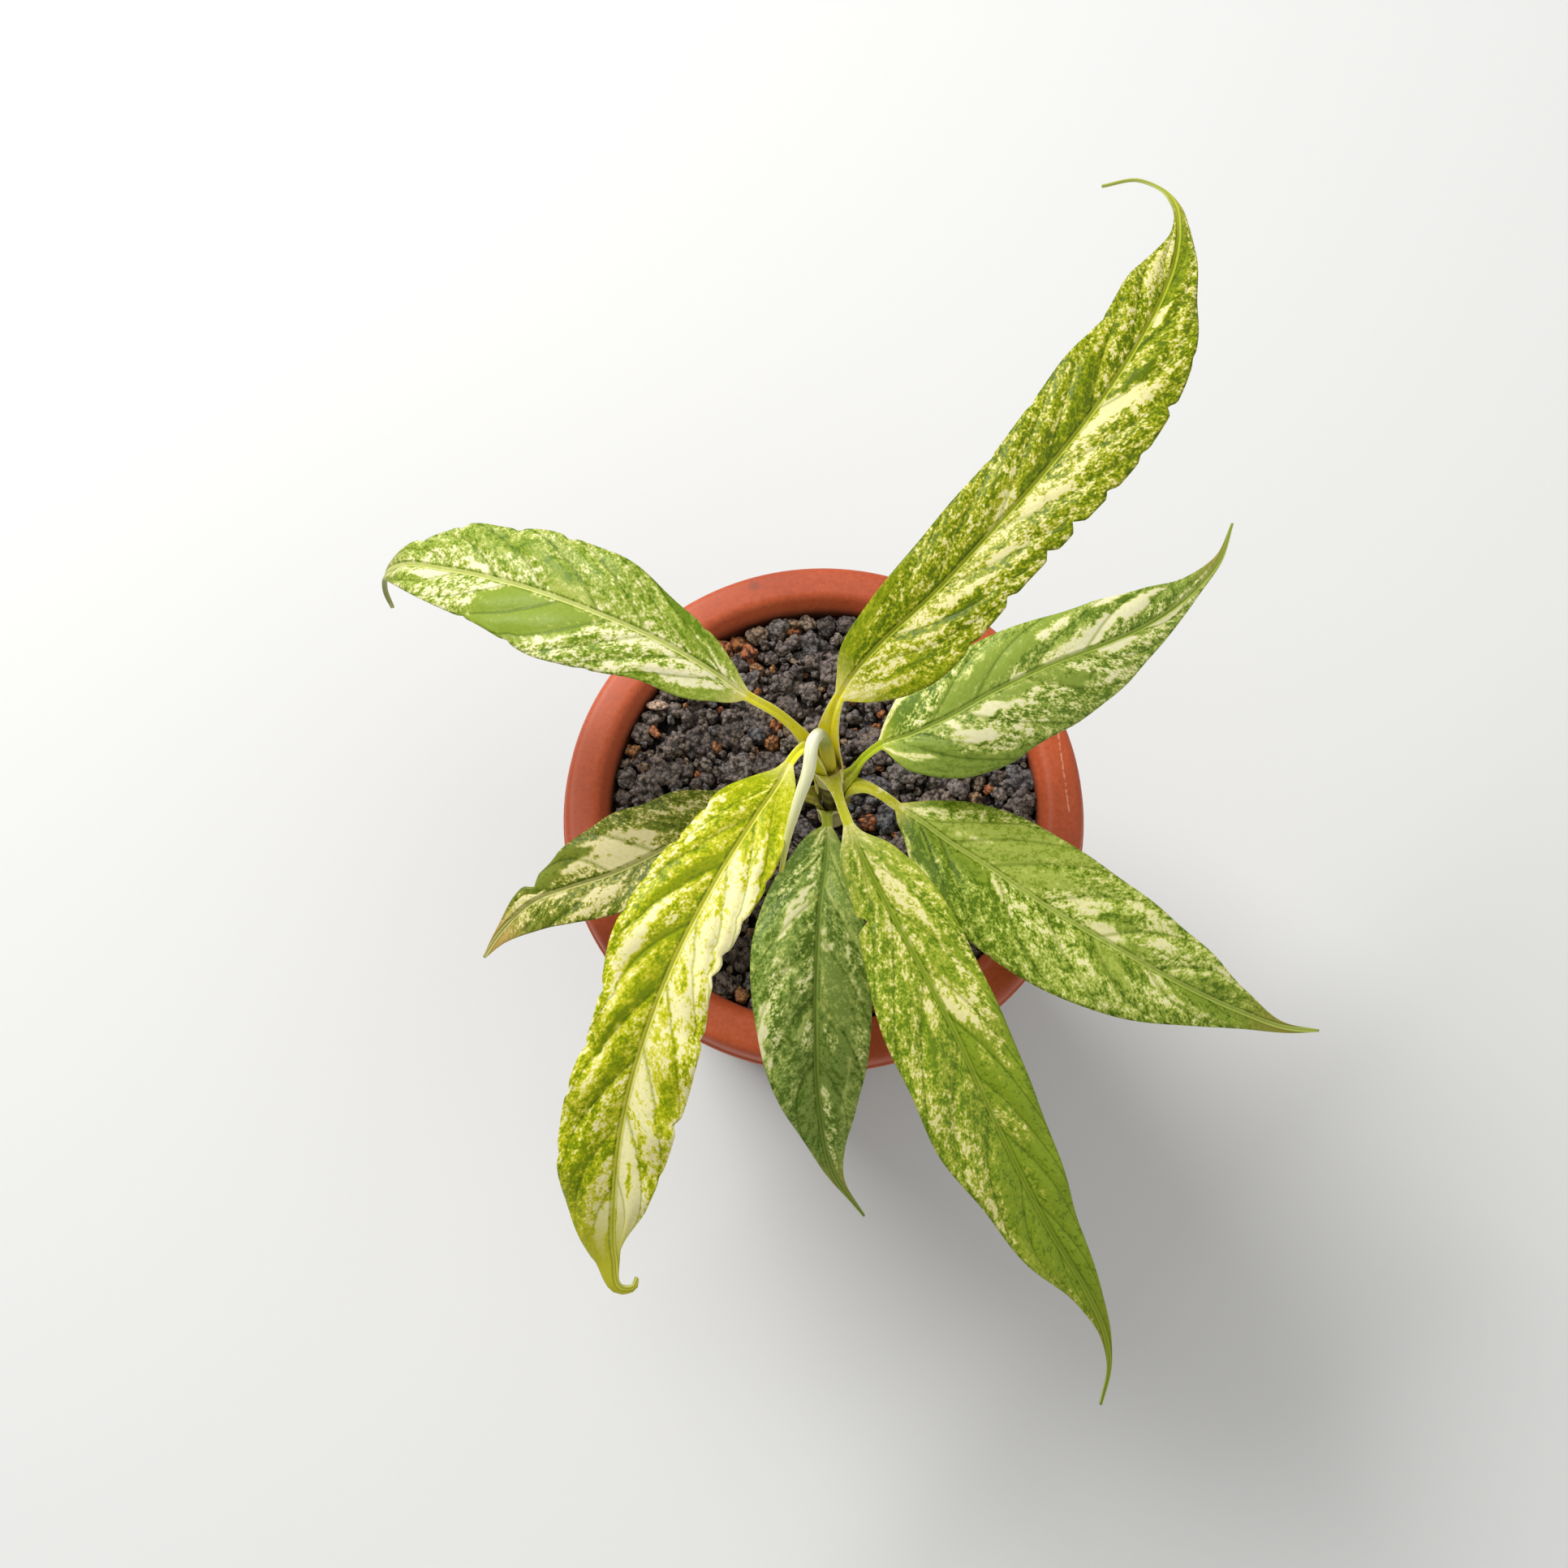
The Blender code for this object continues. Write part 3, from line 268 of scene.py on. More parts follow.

# Marbling, read off: for the left and the right half of each blade, a ground of
# (tone, speckle), then patches of (start, end, inner, outer, tone, speckle). Start and end
# are parts of the blade's length where the vein through that place leaves the rib, inner
# and outer are parts of the half width. Tone runs from 0, dark green, to 1, cream.
# Part of these tones is painted light: some halves' tones are raised or lowered for how brightly
# lit each half looks
MARKS = {
    "leaf_back": dict(
        stalk=(0.25, 0.1),
        left=[(0.44, 0.75), [
            (-0.3, 0.0, 0.2, 1, 0.40, 0.3), (0.0, 0.13, 0.04, 0.3, 0.30, 0.7),
            (0.14, 0.16, 0.0, 0.3, 0.55, 0.6), (0.15, 0.29, 0.02, 0.13, 0.26, 0.6),
            (0.13, 0.24, 0.3, 0.55, 0.50, 0.9), (0.22, 0.3, 0.5, 0.9, 0.46, 0.9),
            (0.265, 0.315, 0.03, 0.32, 0.82, 0.4), (0.25, 0.29, 0.32, 0.5, 0.62, 0.6),
            (0.32, 0.48, 0.02, 0.24, 0.20, 0.5), (0.4, 0.48, 0.1, 0.65, 0.28, 0.5),
            (0.36, 0.4, 0.35, 0.5, 0.72, 0.6), (0.42, 0.45, 0.6, 0.8, 0.72, 0.4),
            (0.47, 0.49, 0.15, 0.55, 0.66, 0.4), (0.49, 0.62, 0.08, 0.5, 0.42, 1.0),
            (0.5, 0.56, 0.45, 0.62, 0.68, 0.5), (0.58, 0.7, 0.42, 0.75, 0.78, 0.4),
            (0.62, 0.74, 0.18, 0.45, 0.72, 0.7), (0.5, 0.75, 0.02, 0.12, 0.60, 0.5),
            (0.74, 0.95, 0, 1, 0.42, 0.4)]],
        right=[(0.52, 0.9), [
            (-0.3, -0.03, 0.1, 1, 0.42, 0.5), (-0.08, 0.1, 0.28, 0.5, 0.62, 0.8),
            (0.0, 0.05, 0.3, 0.46, 0.84, 0.4), (-0.12, -0.03, 0.5, 0.75, 0.72, 0.3),
            (0.03, 0.1, 0.1, 0.45, 0.64, 0.6), (-0.03, 0.03, 0.5, 0.68, 0.30, 0.4),
            (0.085, 0.1, 0.1, 0.5, 0.30, 0.4), (0.08, 0.115, 0.44, 0.62, 0.14, 0.3),
            (0.1, 0.16, 0.05, 0.35, 0.74, 0.6), (0.14, 0.17, 0.32, 0.58, 0.86, 0.4),
            (0.165, 0.185, 0.35, 0.6, 0.35, 0.6), (0.19, 0.22, 0.28, 0.45, 0.88, 0.4),
            (0.16, 0.24, 0.05, 0.28, 0.60, 0.8), (0.22, 0.36, 0.04, 0.25, 0.76, 0.55),
            (0.22, 0.28, 0.25, 0.5, 0.50, 0.9), (0.28, 0.32, 0.22, 0.47, 0.90, 0.3),
            (0.31, 0.36, 0.3, 0.5, 0.72, 0.6), (0.36, 0.42, 0.1, 0.32, 0.66, 0.8),
            (0.42, 0.49, 0.02, 0.22, 0.94, 0.25), (0.44, 0.48, 0.2, 0.45, 0.94, 0.2),
            (0.415, 0.455, 0.42, 0.66, 0.84, 0.3), (0.487, 0.52, 0.08, 0.45, 0.14, 0.3),
            (0.5, 0.57, 0.02, 0.15, 0.62, 0.6), (0.57, 0.6, 0.02, 0.22, 0.24, 0.5),
            (0.6, 0.63, 0.04, 0.26, 0.86, 0.4), (0.52, 0.65, 0.24, 0.55, 0.36, 0.8),
            (0.5, 0.54, 0.55, 0.68, 0.66, 0.4), (0.64, 0.95, 0, 0.6, 0.32, 0.4),
            (0.1, 0.5, 0.74, 1, 0.40, 0.8), (0.14, 0.24, 0.5, 0.76, 0.62, 0.9)]]),
    "leaf_right_back": dict(
        stalk=(-0.6, -0.05),
        left=[(0.34, 0.35), [
            (-0.3, -0.08, 0.7, 1, 0.70, 0.3), (-0.1, 0.0, 0.25, 0.8, 0.15, 0.3),
            (0.0, 0.1, 0.08, 0.9, 0.40, 0.85), (0.1, 0.24, 0.05, 0.78, 0.38, 0.12),
            (0.12, 0.16, 0.5, 0.78, 0.50, 0.5), (0.24, 0.3, 0.15, 1, 0.35, 0.15),
            (0.3, 0.37, 0.1, 0.6, 0.34, 0.6), (0.29, 0.33, 0.58, 0.85, 0.80, 0.5),
            (0.3, 0.35, 0.0, 0.09, 0.76, 0.5), (0.37, 0.395, 0.1, 0.3, 0.92, 0.3),
            (0.4, 0.44, 0.03, 0.25, 0.80, 0.5), (0.36, 0.5, 0.6, 0.9, 0.24, 0.5),
            (0.41, 0.45, 0.28, 0.5, 0.62, 0.8), (0.44, 0.51, 0.03, 0.4, 0.95, 0.12),
            (0.45, 0.57, 0.38, 0.62, 0.95, 0.12), (0.49, 0.58, 0.6, 0.78, 0.94, 0.12),
            (0.52, 0.59, 0.04, 0.36, 0.40, 0.9), (0.55, 0.59, 0.36, 0.6, 0.90, 0.3),
            (0.6, 0.7, 0.08, 0.5, 0.40, 0.8), (0.36, 0.43, 0.88, 1, 0.86, 0.2),
            (0.44, 0.5, 0.8, 0.92, 0.14, 0.3), (0.6, 0.85, 0.5, 1, 0.33, 0.3),
            (0.72, 0.95, 0, 0.4, 0.60, 0.7)]],
        right=[(0.38, 0.5), [
            (-0.3, 0.07, 0.15, 1, 0.27, 0.1), (-0.1, 0.0, 0.45, 0.62, 0.70, 0.3),
            (0.08, 0.11, 0.2, 0.36, 0.50, 0.8), (0.12, 0.14, 0.06, 0.55, 0.95, 0.15),
            (0.1, 0.13, 0.28, 0.5, 0.93, 0.2), (0.08, 0.125, 0.4, 0.57, 0.90, 0.25),
            (0.145, 0.18, 0.05, 0.3, 0.42, 0.7), (0.18, 0.24, 0.08, 0.33, 0.93, 0.25),
            (0.15, 0.24, 0.33, 0.6, 0.36, 1.0), (0.26, 0.34, 0.25, 0.6, 0.48, 1.0),
            (0.24, 0.265, 0.22, 0.45, 0.90, 0.35), (0.15, 0.19, 0.56, 0.7, 0.80, 0.6),
            (0.05, 0.15, 0.58, 0.82, 0.50, 0.9), (0.2, 0.36, 0.62, 0.96, 0.36, 0.7),
            (0.24, 0.42, 0.03, 0.22, 0.40, 0.12), (0.34, 0.4, 0.28, 0.5, 0.30, 0.12),
            (0.35, 0.42, 0.58, 0.9, 0.60, 0.8), (0.4, 0.5, 0.15, 0.6, 0.48, 0.9),
            (0.5, 0.575, 0.0, 0.24, 0.95, 0.1), (0.53, 0.57, 0.25, 0.5, 0.30, 0.3),
            (0.575, 0.64, 0.02, 0.2, 0.40, 0.2), (0.5, 0.62, 0.3, 0.7, 0.50, 0.8),
            (0.62, 0.72, 0.06, 0.36, 0.88, 0.3), (0.66, 0.95, 0.3, 0.9, 0.62, 0.5)]]),
    "leaf_right_front": dict(
        stalk=(-0.5, 0.25),
        left=[(0.46, 0.6), [
            (-0.3, -0.05, 0.4, 1, 0.26, 0.3), (-0.05, 0.03, 0.3, 0.66, 0.72, 0.7),
            # Painted sheen: the smooth pale patch from 0.04 to 0.21 of the length, across nearly
            # the whole half
            (0.0, 0.04, 0.4, 0.75, 0.50, 0.8), (0.04, 0.21, 0.04, 0.97, 0.45, 0.16),
            (0.1, 0.14, 0.27, 0.37, 0.80, 0.4), (0.21, 0.32, 0.04, 0.5, 0.47, 0.22),
            (0.22, 0.3, 0.5, 0.72, 0.42, 0.5), (0.31, 0.34, 0.1, 0.32, 0.60, 0.8),
            (0.34, 0.41, 0.18, 0.46, 0.85, 0.45), (0.34, 0.42, 0.03, 0.2, 0.60, 0.8),
            (0.4, 0.43, 0.25, 0.52, 0.25, 0.4), (0.36, 0.42, 0.66, 0.86, 0.78, 0.6),
            (0.42, 0.465, 0.6, 0.8, 0.88, 0.35), (0.39, 0.44, 0.5, 0.66, 0.30, 0.5),
            (0.43, 0.5, 0.03, 0.25, 0.93, 0.25), (0.44, 0.48, 0.25, 0.42, 0.38, 0.2),
            (0.48, 0.52, 0.2, 0.42, 0.50, 0.7), (0.5, 0.55, 0.34, 0.56, 0.88, 0.35),
            (0.5, 0.54, 0.03, 0.22, 0.40, 0.15), (0.55, 0.62, 0.18, 0.5, 0.54, 0.8),
            (0.61, 0.63, 0.28, 0.4, 0.86, 0.3), (0.55, 0.62, 0.74, 0.95, 0.80, 0.5),
            (0.64, 1.0, 0, 1, 0.34, 0.45)]],
        right=[(0.36, 0.6), [
            (-0.3, 0.05, 0.15, 1, 0.20, 0.3), (-0.14, 0.0, 0.85, 1, 0.75, 0.5),
            (0.05, 0.205, 0.05, 0.3, 0.27, 0.08), (0.05, 0.21, 0.3, 0.75, 0.28, 0.65),
            (0.205, 0.22, 0.08, 0.5, 0.18, 0.2), (0.223, 0.245, 0.03, 0.28, 0.85, 0.3),
            (0.24, 0.3, 0.03, 0.45, 0.58, 0.9), (0.3, 0.39, 0.03, 0.2, 0.36, 0.8),
            (0.3, 0.41, 0.2, 0.5, 0.54, 0.75), (0.36, 0.44, 0.4, 0.55, 0.70, 0.7),
            (0.41, 0.445, 0.08, 0.5, 0.33, 0.5), (0.447, 0.5, 0.05, 0.48, 0.44, 0.1),
            (0.5, 0.56, 0.03, 0.28, 0.31, 0.4), (0.56, 0.6, 0.08, 0.45, 0.76, 0.5),
            (0.5, 0.58, 0.34, 0.62, 0.64, 0.8), (0.6, 0.62, 0.05, 0.3, 0.30, 0.2),
            (0.6, 0.65, 0.4, 0.65, 0.62, 0.5), (0.24, 0.45, 0.52, 0.92, 0.47, 0.6),
            (0.64, 1.0, 0, 1, 0.31, 0.25)]]),
    "leaf_front_right": dict(
        stalk=(0.6, -0.05),
        left=[(0.31, 0.2), [
            (-0.3, -0.02, 0.2, 1, 0.48, 0.3), (0.0, 0.03, 0.04, 0.4, 0.58, 0.6),
            (0.03, 0.13, 0.1, 0.56, 0.78, 0.55), (-0.06, 0.0, 0.45, 0.9, 0.60, 0.6),
            (0.0, 0.1, 0.6, 1, 0.40, 0.9), (0.12, 0.3, 0.04, 0.25, 0.58, 0.7),
            (0.12, 0.2, 0.28, 0.5, 0.40, 0.6), (0.13, 0.2, 0.52, 0.85, 0.62, 0.9),
            (0.2, 0.3, 0.5, 0.75, 0.68, 0.8), (0.22, 0.28, 0.28, 0.5, 0.85, 0.5),
            (0.27, 0.31, 0.02, 0.32, 0.85, 0.45), (0.2, 0.3, 0.85, 1, 0.28, 0.2),
            (0.33, 0.36, 0.25, 0.42, 0.44, 0.7), (0.41, 0.45, 0.35, 0.55, 0.46, 0.7),
            (0.42, 0.5, 0.0, 0.14, 0.46, 0.6), (0.44, 0.49, 0.1, 0.36, 0.56, 0.7),
            (0.54, 0.6, 0.1, 0.3, 0.40, 0.5)]],
        right=[(0.40, 0.75), [
            (-0.3, 0.0, 0.08, 1, 0.50, 0.5), (0.0, 0.12, 0.04, 0.35, 0.55, 0.5),
            (-0.04, 0.1, 0.35, 0.62, 0.34, 0.8), (0.12, 0.2, 0.12, 0.36, 0.65, 0.7),
            (0.05, 0.15, 0.5, 0.76, 0.42, 0.9), (0.12, 0.26, 0.36, 0.6, 0.36, 0.8),
            (0.24, 0.3, 0.08, 0.3, 0.72, 0.5), (0.26, 0.3, 0.3, 0.52, 0.18, 0.25),
            (0.3, 0.5, 0.06, 0.42, 0.34, 0.6), (0.35, 0.46, 0.42, 0.62, 0.56, 0.8),
            (0.2, 0.33, 0.7, 0.87, 0.68, 0.7), (0.37, 0.46, 0.74, 0.92, 0.72, 0.7),
            (0.5, 1.0, 0.0, 0.65, 0.32, 0.25), (0.5, 0.62, 0.68, 1, 0.46, 0.3)]]),
    "leaf_front": dict(
        stalk=(0.8, -0.1),
        left=[(0.36, 0.35), [
            (-0.3, 0.0, 0.1, 1, 0.34, 0.2), (0.0, 0.13, 0.05, 0.75, 0.42, 0.25),
            (0.135, 0.158, 0.06, 0.95, 0.60, 0.1), (0.16, 0.24, 0.08, 0.78, 0.28, 0.6),
            (0.155, 0.18, 0.48, 0.58, 0.74, 0.3), (0.2, 0.25, 0.53, 0.66, 0.72, 0.5),
            (0.25, 0.29, 0.08, 0.3, 0.80, 0.5), (0.26, 0.29, 0.68, 0.76, 0.80, 0.3),
            (0.29, 0.41, 0.05, 0.6, 0.40, 0.15), (0.355, 0.38, 0.08, 0.16, 0.78, 0.3),
            (0.412, 0.432, 0.05, 0.5, 0.62, 0.1), (0.433, 0.75, 0.03, 0.57, 0.28, 0.2),
            (0.46, 0.5, 0.15, 0.42, 0.42, 0.8), (0.43, 0.62, 0.6, 0.66, 0.56, 0.1),
            (0.61, 0.64, 0.06, 0.2, 0.76, 0.5), (0.64, 0.78, 0.18, 0.55, 0.42, 0.8),
            (0.71, 0.78, 0.08, 0.4, 0.62, 0.7), (0.33, 0.42, 0.78, 0.9, 0.60, 0.6)]],
        right=[(0.31, 0.45), [
            (-0.3, 0.0, 0.1, 1, 0.20, 0.3), (-0.05, -0.01, 0.22, 0.5, 0.72, 0.4),
            (0.0, 0.1, 0.52, 0.82, 0.44, 0.9), (0.0, 0.06, 0.1, 0.5, 0.38, 0.6),
            (0.06, 0.1, 0.12, 0.36, 0.72, 0.5), (0.12, 0.2, 0.18, 0.56, 0.93, 0.2),
            (0.145, 0.158, 0.2, 0.45, 0.36, 0.3), (0.165, 0.2, 0.06, 0.22, 0.58, 0.2),
            (0.2, 0.3, 0.05, 0.3, 0.25, 0.75), (0.2, 0.32, 0.3, 0.6, 0.38, 0.35),
            (0.22, 0.25, 0.52, 0.66, 0.80, 0.5), (0.28, 0.32, 0.4, 0.53, 0.82, 0.5),
            (0.32, 0.38, 0.08, 0.26, 0.56, 0.9), (0.38, 0.44, 0.05, 0.32, 0.22, 0.5),
            (0.26, 0.42, 0.55, 0.76, 0.50, 1.0), (0.28, 0.35, 0.78, 1, 0.85, 0.3),
            (0.37, 0.42, 0.77, 0.88, 0.76, 0.4), (0.445, 0.46, 0.05, 0.35, 0.55, 0.1),
            (0.47, 0.53, 0.0, 0.22, 0.55, 0.9), (0.52, 0.57, 0.06, 0.25, 0.15, 0.2),
            (0.56, 1.0, 0.03, 0.95, 0.26, 0.2)]]),
    "leaf_front_left": dict(
        stalk=(0.1, 0),
        left=[(0.76, 0.55), [
            (-0.3, 0.05, 0.1, 1, 0.50, 0.3), (0.0, 0.16, 0.03, 0.34, 0.47, 0.35),
            (0.05, 0.09, 0.3, 0.55, 0.50, 0.4), (-0.02, 0.04, 0.55, 0.9, 0.38, 0.4),
            (0.05, 0.2, 0.6, 1, 0.88, 0.35), (0.09, 0.15, 0.34, 0.6, 0.64, 0.6),
            (0.16, 0.4, 0.06, 0.3, 0.74, 0.35), (0.15, 0.4, 0.3, 0.75, 0.85, 0.4),
            (0.21, 0.235, 0.22, 0.45, 0.48, 0.3), (0.33, 0.37, 0.28, 0.42, 0.44, 0.4),
            (0.27, 0.3, 0.2, 0.28, 0.54, 0.3), (0.25, 0.4, 0.74, 0.95, 0.54, 0.7),
            (0.41, 0.53, 0.1, 0.52, 0.68, 0.35), (0.41, 0.53, 0.54, 0.77, 0.38, 0.4),
            (0.42, 0.5, 0.77, 0.95, 0.48, 0.4), (0.53, 0.6, 0.06, 0.6, 0.84, 0.35),
            (0.6, 0.65, 0.38, 0.7, 0.50, 0.7), (0.65, 0.85, 0.04, 0.95, 0.92, 0.2),
            (0.68, 0.72, 0.22, 0.4, 0.42, 0.5), (0.5, 0.6, 0.84, 1, 0.52, 0.5),
            (0.8, 0.9, 0.0, 0.15, 0.56, 0.3)]],
        right=[(0.42, 0.6), [
            (-0.3, 0.0, 0.0, 1, 0.40, 0.2), (0.06, 0.1, 0.28, 0.7, 0.56, 0.5),
            (0.1, 0.2, 0.08, 0.5, 0.48, 0.45), (0.175, 0.213, 0.04, 0.72, 0.30, 0.2),
            (0.216, 0.24, 0.04, 0.28, 0.68, 0.4), (0.216, 0.27, 0.26, 0.55, 0.58, 0.7),
            (0.22, 0.32, 0.5, 0.68, 0.82, 0.2), (0.24, 0.36, 0.66, 0.86, 0.78, 0.3),
            (0.27, 0.3, 0.08, 0.5, 0.50, 0.7), (0.308, 0.333, 0.06, 0.66, 0.32, 0.2),
            (0.336, 0.36, 0.06, 0.5, 0.56, 0.5), (0.336, 0.375, 0.42, 0.76, 0.68, 0.3),
            (0.36, 0.4, 0.1, 0.7, 0.40, 0.4), (0.4, 0.433, 0.06, 0.76, 0.20, 0.15),
            (0.436, 0.47, 0.06, 0.5, 0.52, 0.5), (0.43, 0.5, 0.54, 0.76, 0.74, 0.25),
            (0.5, 0.55, 0.24, 0.46, 0.26, 0.3), (0.52, 0.57, 0.04, 0.25, 0.54, 0.6),
            (0.56, 0.62, 0.18, 0.46, 0.64, 0.7), (0.6, 0.66, 0.05, 0.3, 0.56, 0.5),
            (0.55, 0.66, 0.42, 0.72, 0.40, 0.8), (0.66, 0.7, 0.04, 0.5, 0.33, 0.6),
            (0.7, 0.8, 0.08, 0.6, 0.68, 0.5), (0.78, 0.84, 0.05, 0.55, 0.86, 0.2),
            (0.6, 0.7, 0.5, 0.82, 0.30, 0.6), (-0.08, 0.1, 0.76, 1, 0.66, 0.6),
            (0.1, 0.5, 0.84, 1, 0.50, 0.7)]]),
    "leaf_left": dict(
        stalk=(-0.5, 0),
        left=[(0.44, 0.8), [
            (0.33, 0.42, 0.3, 1, 0.38, 0.8), (0.38, 0.45, 0.44, 0.85, 0.80, 0.6),
            (0.41, 0.46, 0.28, 0.5, 0.90, 0.3), (0.45, 0.5, 0.74, 0.9, 0.80, 0.4),
            (0.47, 0.55, 0.18, 0.46, 0.90, 0.35), (0.5, 0.58, 0.46, 0.7, 0.35, 0.7),
            (0.5, 0.7, 0.62, 1, 0.28, 0.4), (0.55, 0.62, 0.05, 0.4, 0.34, 0.6),
            (0.61, 0.72, 0.0, 0.2, 0.78, 0.35), (0.65, 0.85, 0.2, 0.5, 0.44, 0.8),
            (0.74, 1.0, 0.0, 1, 0.60, 0.6)]],
        right=[(0.40, 0.8), [
            (-0.1, 0.2, 0.5, 0.74, 0.60, 0.9), (0.17, 0.25, 0.3, 0.6, 0.30, 0.6),
            (0.25, 0.5, 0.04, 0.6, 0.90, 0.12), (0.24, 0.3, 0.04, 0.3, 0.56, 0.8),
            (0.29, 0.4, 0.6, 0.74, 0.85, 0.35), (0.3, 0.34, 0.32, 0.46, 0.44, 0.8),
            (0.42, 0.48, 0.34, 0.43, 0.55, 0.7), (0.5, 0.62, 0.1, 0.3, 0.60, 0.9),
            (0.5, 0.62, 0.0, 0.11, 0.28, 0.6), (0.5, 0.58, 0.3, 0.47, 0.86, 0.25),
            (0.4, 0.6, 0.52, 1, 0.28, 0.15), (0.56, 0.66, 0.32, 0.7, 0.30, 0.15),
            (0.25, 0.4, 0.75, 1, 0.35, 0.7), (0.66, 0.8, 0.04, 0.7, 0.74, 0.4),
            (0.8, 1.0, 0, 1, 0.60, 0.5)]]),
    "leaf_left_back": dict(
        stalk=(0.1, 0.05),
        left=[(0.62, 0.8), [
            (-0.3, -0.02, 0.2, 1, 0.42, 0.2), (-0.05, 0.05, 0.75, 1, 0.32, 0.5),
            (-0.02, 0.1, 0.34, 0.76, 0.88, 0.35), (0.02, 0.25, 0.08, 0.26, 0.80, 0.4),
            (0.08, 0.16, 0.24, 0.56, 0.42, 0.9), (0.16, 0.28, 0.3, 0.55, 0.58, 1.0),
            (0.18, 0.24, 0.08, 0.36, 0.85, 0.5), (0.13, 0.26, 0.5, 0.82, 0.38, 0.8),
            (0.1, 0.25, 0.76, 0.97, 0.62, 1.0), (0.25, 0.29, 0.58, 0.9, 0.86, 0.4),
            (0.26, 0.295, 0.15, 0.4, 0.70, 0.8), (0.275, 0.3, 0.4, 0.62, 0.38, 0.1),
            (0.26, 0.3, 0.86, 1, 0.36, 0.15), (0.298, 0.53, 0.05, 0.36, 0.34, 0.08),
            (0.29, 0.51, 0.35, 0.5, 0.35, 0.08), (0.3, 0.48, 0.49, 0.65, 0.36, 0.08),
            (0.3, 0.45, 0.64, 0.8, 0.35, 0.08), (0.3, 0.41, 0.79, 1, 0.32, 0.08),
            (0.53, 0.56, 0.05, 0.42, 0.85, 0.6), (0.56, 0.66, 0.08, 0.6, 0.64, 0.8),
            (0.66, 0.72, 0.08, 0.4, 0.94, 0.2), (0.62, 0.7, 0.42, 1, 0.38, 0.5),
            (0.72, 0.9, 0.0, 0.5, 0.58, 0.6)]],
        right=[(0.46, 0.6), [
            (-0.3, -0.05, 0.1, 1, 0.45, 0.3), (-0.05, 0.05, 0.68, 1, 0.20, 0.2),
            (-0.02, 0.08, 0.08, 0.3, 0.74, 0.7), (0.05, 0.12, 0.0, 0.14, 0.30, 0.6),
            (0.12, 0.22, 0.04, 0.32, 0.64, 0.9), (0.03, 0.1, 0.3, 0.72, 0.36, 0.4),
            (0.1, 0.3, 0.34, 0.95, 0.42, 0.6), (0.2, 0.33, 0.1, 0.36, 0.50, 0.5),
            (0.335, 0.42, 0.06, 0.26, 0.52, 0.2), (0.335, 0.4, 0.26, 0.56, 0.32, 0.3),
            (0.38, 0.5, 0.5, 0.82, 0.31, 0.4), (0.42, 0.55, 0.08, 0.42, 0.54, 0.7),
            (0.57, 0.62, 0.08, 0.3, 0.92, 0.25), (0.6, 0.68, 0.25, 0.46, 0.68, 0.7),
            (0.63, 0.85, 0.03, 0.25, 0.54, 0.8), (0.5, 0.75, 0.46, 0.9, 0.42, 0.5)]]),
}

# Tissue colours of each blade from its darkest green to its cream, then tip, rib, petiole
COLOURS = {
    "leaf_back": ("#5c6e02", "#7a8a04", "#9a9f12", "#bab83e", "#e2da9c", "#b4ae44", "#aeb632",
                  "#ece22e"),
    "leaf_right_back": ("#657f26", "#92a642", "#bcc668", "#e6e596", "#f8f3c4", "#b8ae58",
                        "#a6b84c", "#a8ba1c"),
    # Painted light: the greens of leaf_right_front are lightened, though it droops away from the
    # key light
    "leaf_right_front": ("#5b760c", "#8a9f2e", "#aebc50", "#d0d774", "#f0eaac", "#969238",
                         "#b4c25c", "#b6b42a"),
    "leaf_front_right": ("#688112", "#889e22", "#a4ae38", "#c2c552", "#eae29e", "#8f8f24",
                         "#93a632", "#c6c62a"),
    "leaf_front": ("#5e7822", "#889e48", "#b0bf62", "#d4dc86", "#f6f0be", "#a2a048",
                   "#869c40", "#94a030"),
    "leaf_front_left": ("#7c8f00", "#9aa704", "#bec016", "#dcd652", "#f4edae", "#c8c432",
                        "#d4d24c", "#e2de2c"),
    "leaf_left": ("#5a6912", "#798428", "#9c9c42", "#c2bb64", "#e3d8a0", "#b3984e", "#bbb970",
                  "#a8a832"),
    "leaf_left_back": ("#648014", "#879b30", "#a5b14c", "#c7ca7a", "#eae4b8", "#8c8930",
                       "#d0d480", "#e2da32"),
}
SHEATH_HEX = "#94794a"
WING_HEX = "#ece2a4"
UNDERSIDE_HEX = "#b7c07c"

# Youngest leaf, still rolled: centre line, and its radius from base to tip
ROLLED_RIB = [(0.55, -0.2, 150.6), (0.1, -0.5, 161.0), (-1.0, -1.6, 175.0),
              (-2.6, -3.8, 185.0), (-3.8, -7.4, 189.2), (-4.5, -12.7, 188.2),
              (-7.0, -19.6, 184.5), (-9.3, -26.6, 179.0), (-10.6, -32.4, 173.6)]
ROLLED_RADII = [2.0, 1.8, 1.6, 1.55, 1.55, 1.55, 1.3, 0.95, 0.55]
ROLLED_ROWS = 90
ROLLED_SIDES = 28
ROLLED_STEP = 0.12             # how far the outer turn's edge stands over the inner one


def linear(code):
    """Linear colour for a shader from an sRGB hex value."""
    parts = [int(code[i:i + 2], 16) / 255 for i in (1, 3, 5)]
    return tuple(p / 12.92 if p <= 0.04045 else ((p + 0.055) / 1.055) ** 2.4
                 for p in parts) + (1.0,)


def add(tree, kind, inputs=None, stops=None, out=0, **settings):
    """Add a shader node with its settings, socket values or links, and colour stops.

    The result is the output of the given name or number, or the outputs of a slice.
    """
    made = tree.nodes.new("ShaderNode" + kind)
    for name, value in settings.items():
        setattr(made, name, value)
    for socket, value in (inputs or {}).items():
        if isinstance(value, bpy.types.NodeSocket):
            tree.links.new(value, made.inputs[socket])
        else:
            made.inputs[socket].default_value = value
    if stops:
        elements = made.color_ramp.elements
        while len(elements) > 1:
            elements.remove(elements[-1])
        elements[0].position, elements[0].color = stops[0][0], linear(stops[0][1])
        for place, colour in stops[1:]:
            elements.new(place).color = linear(colour)
    return made.outputs[out]


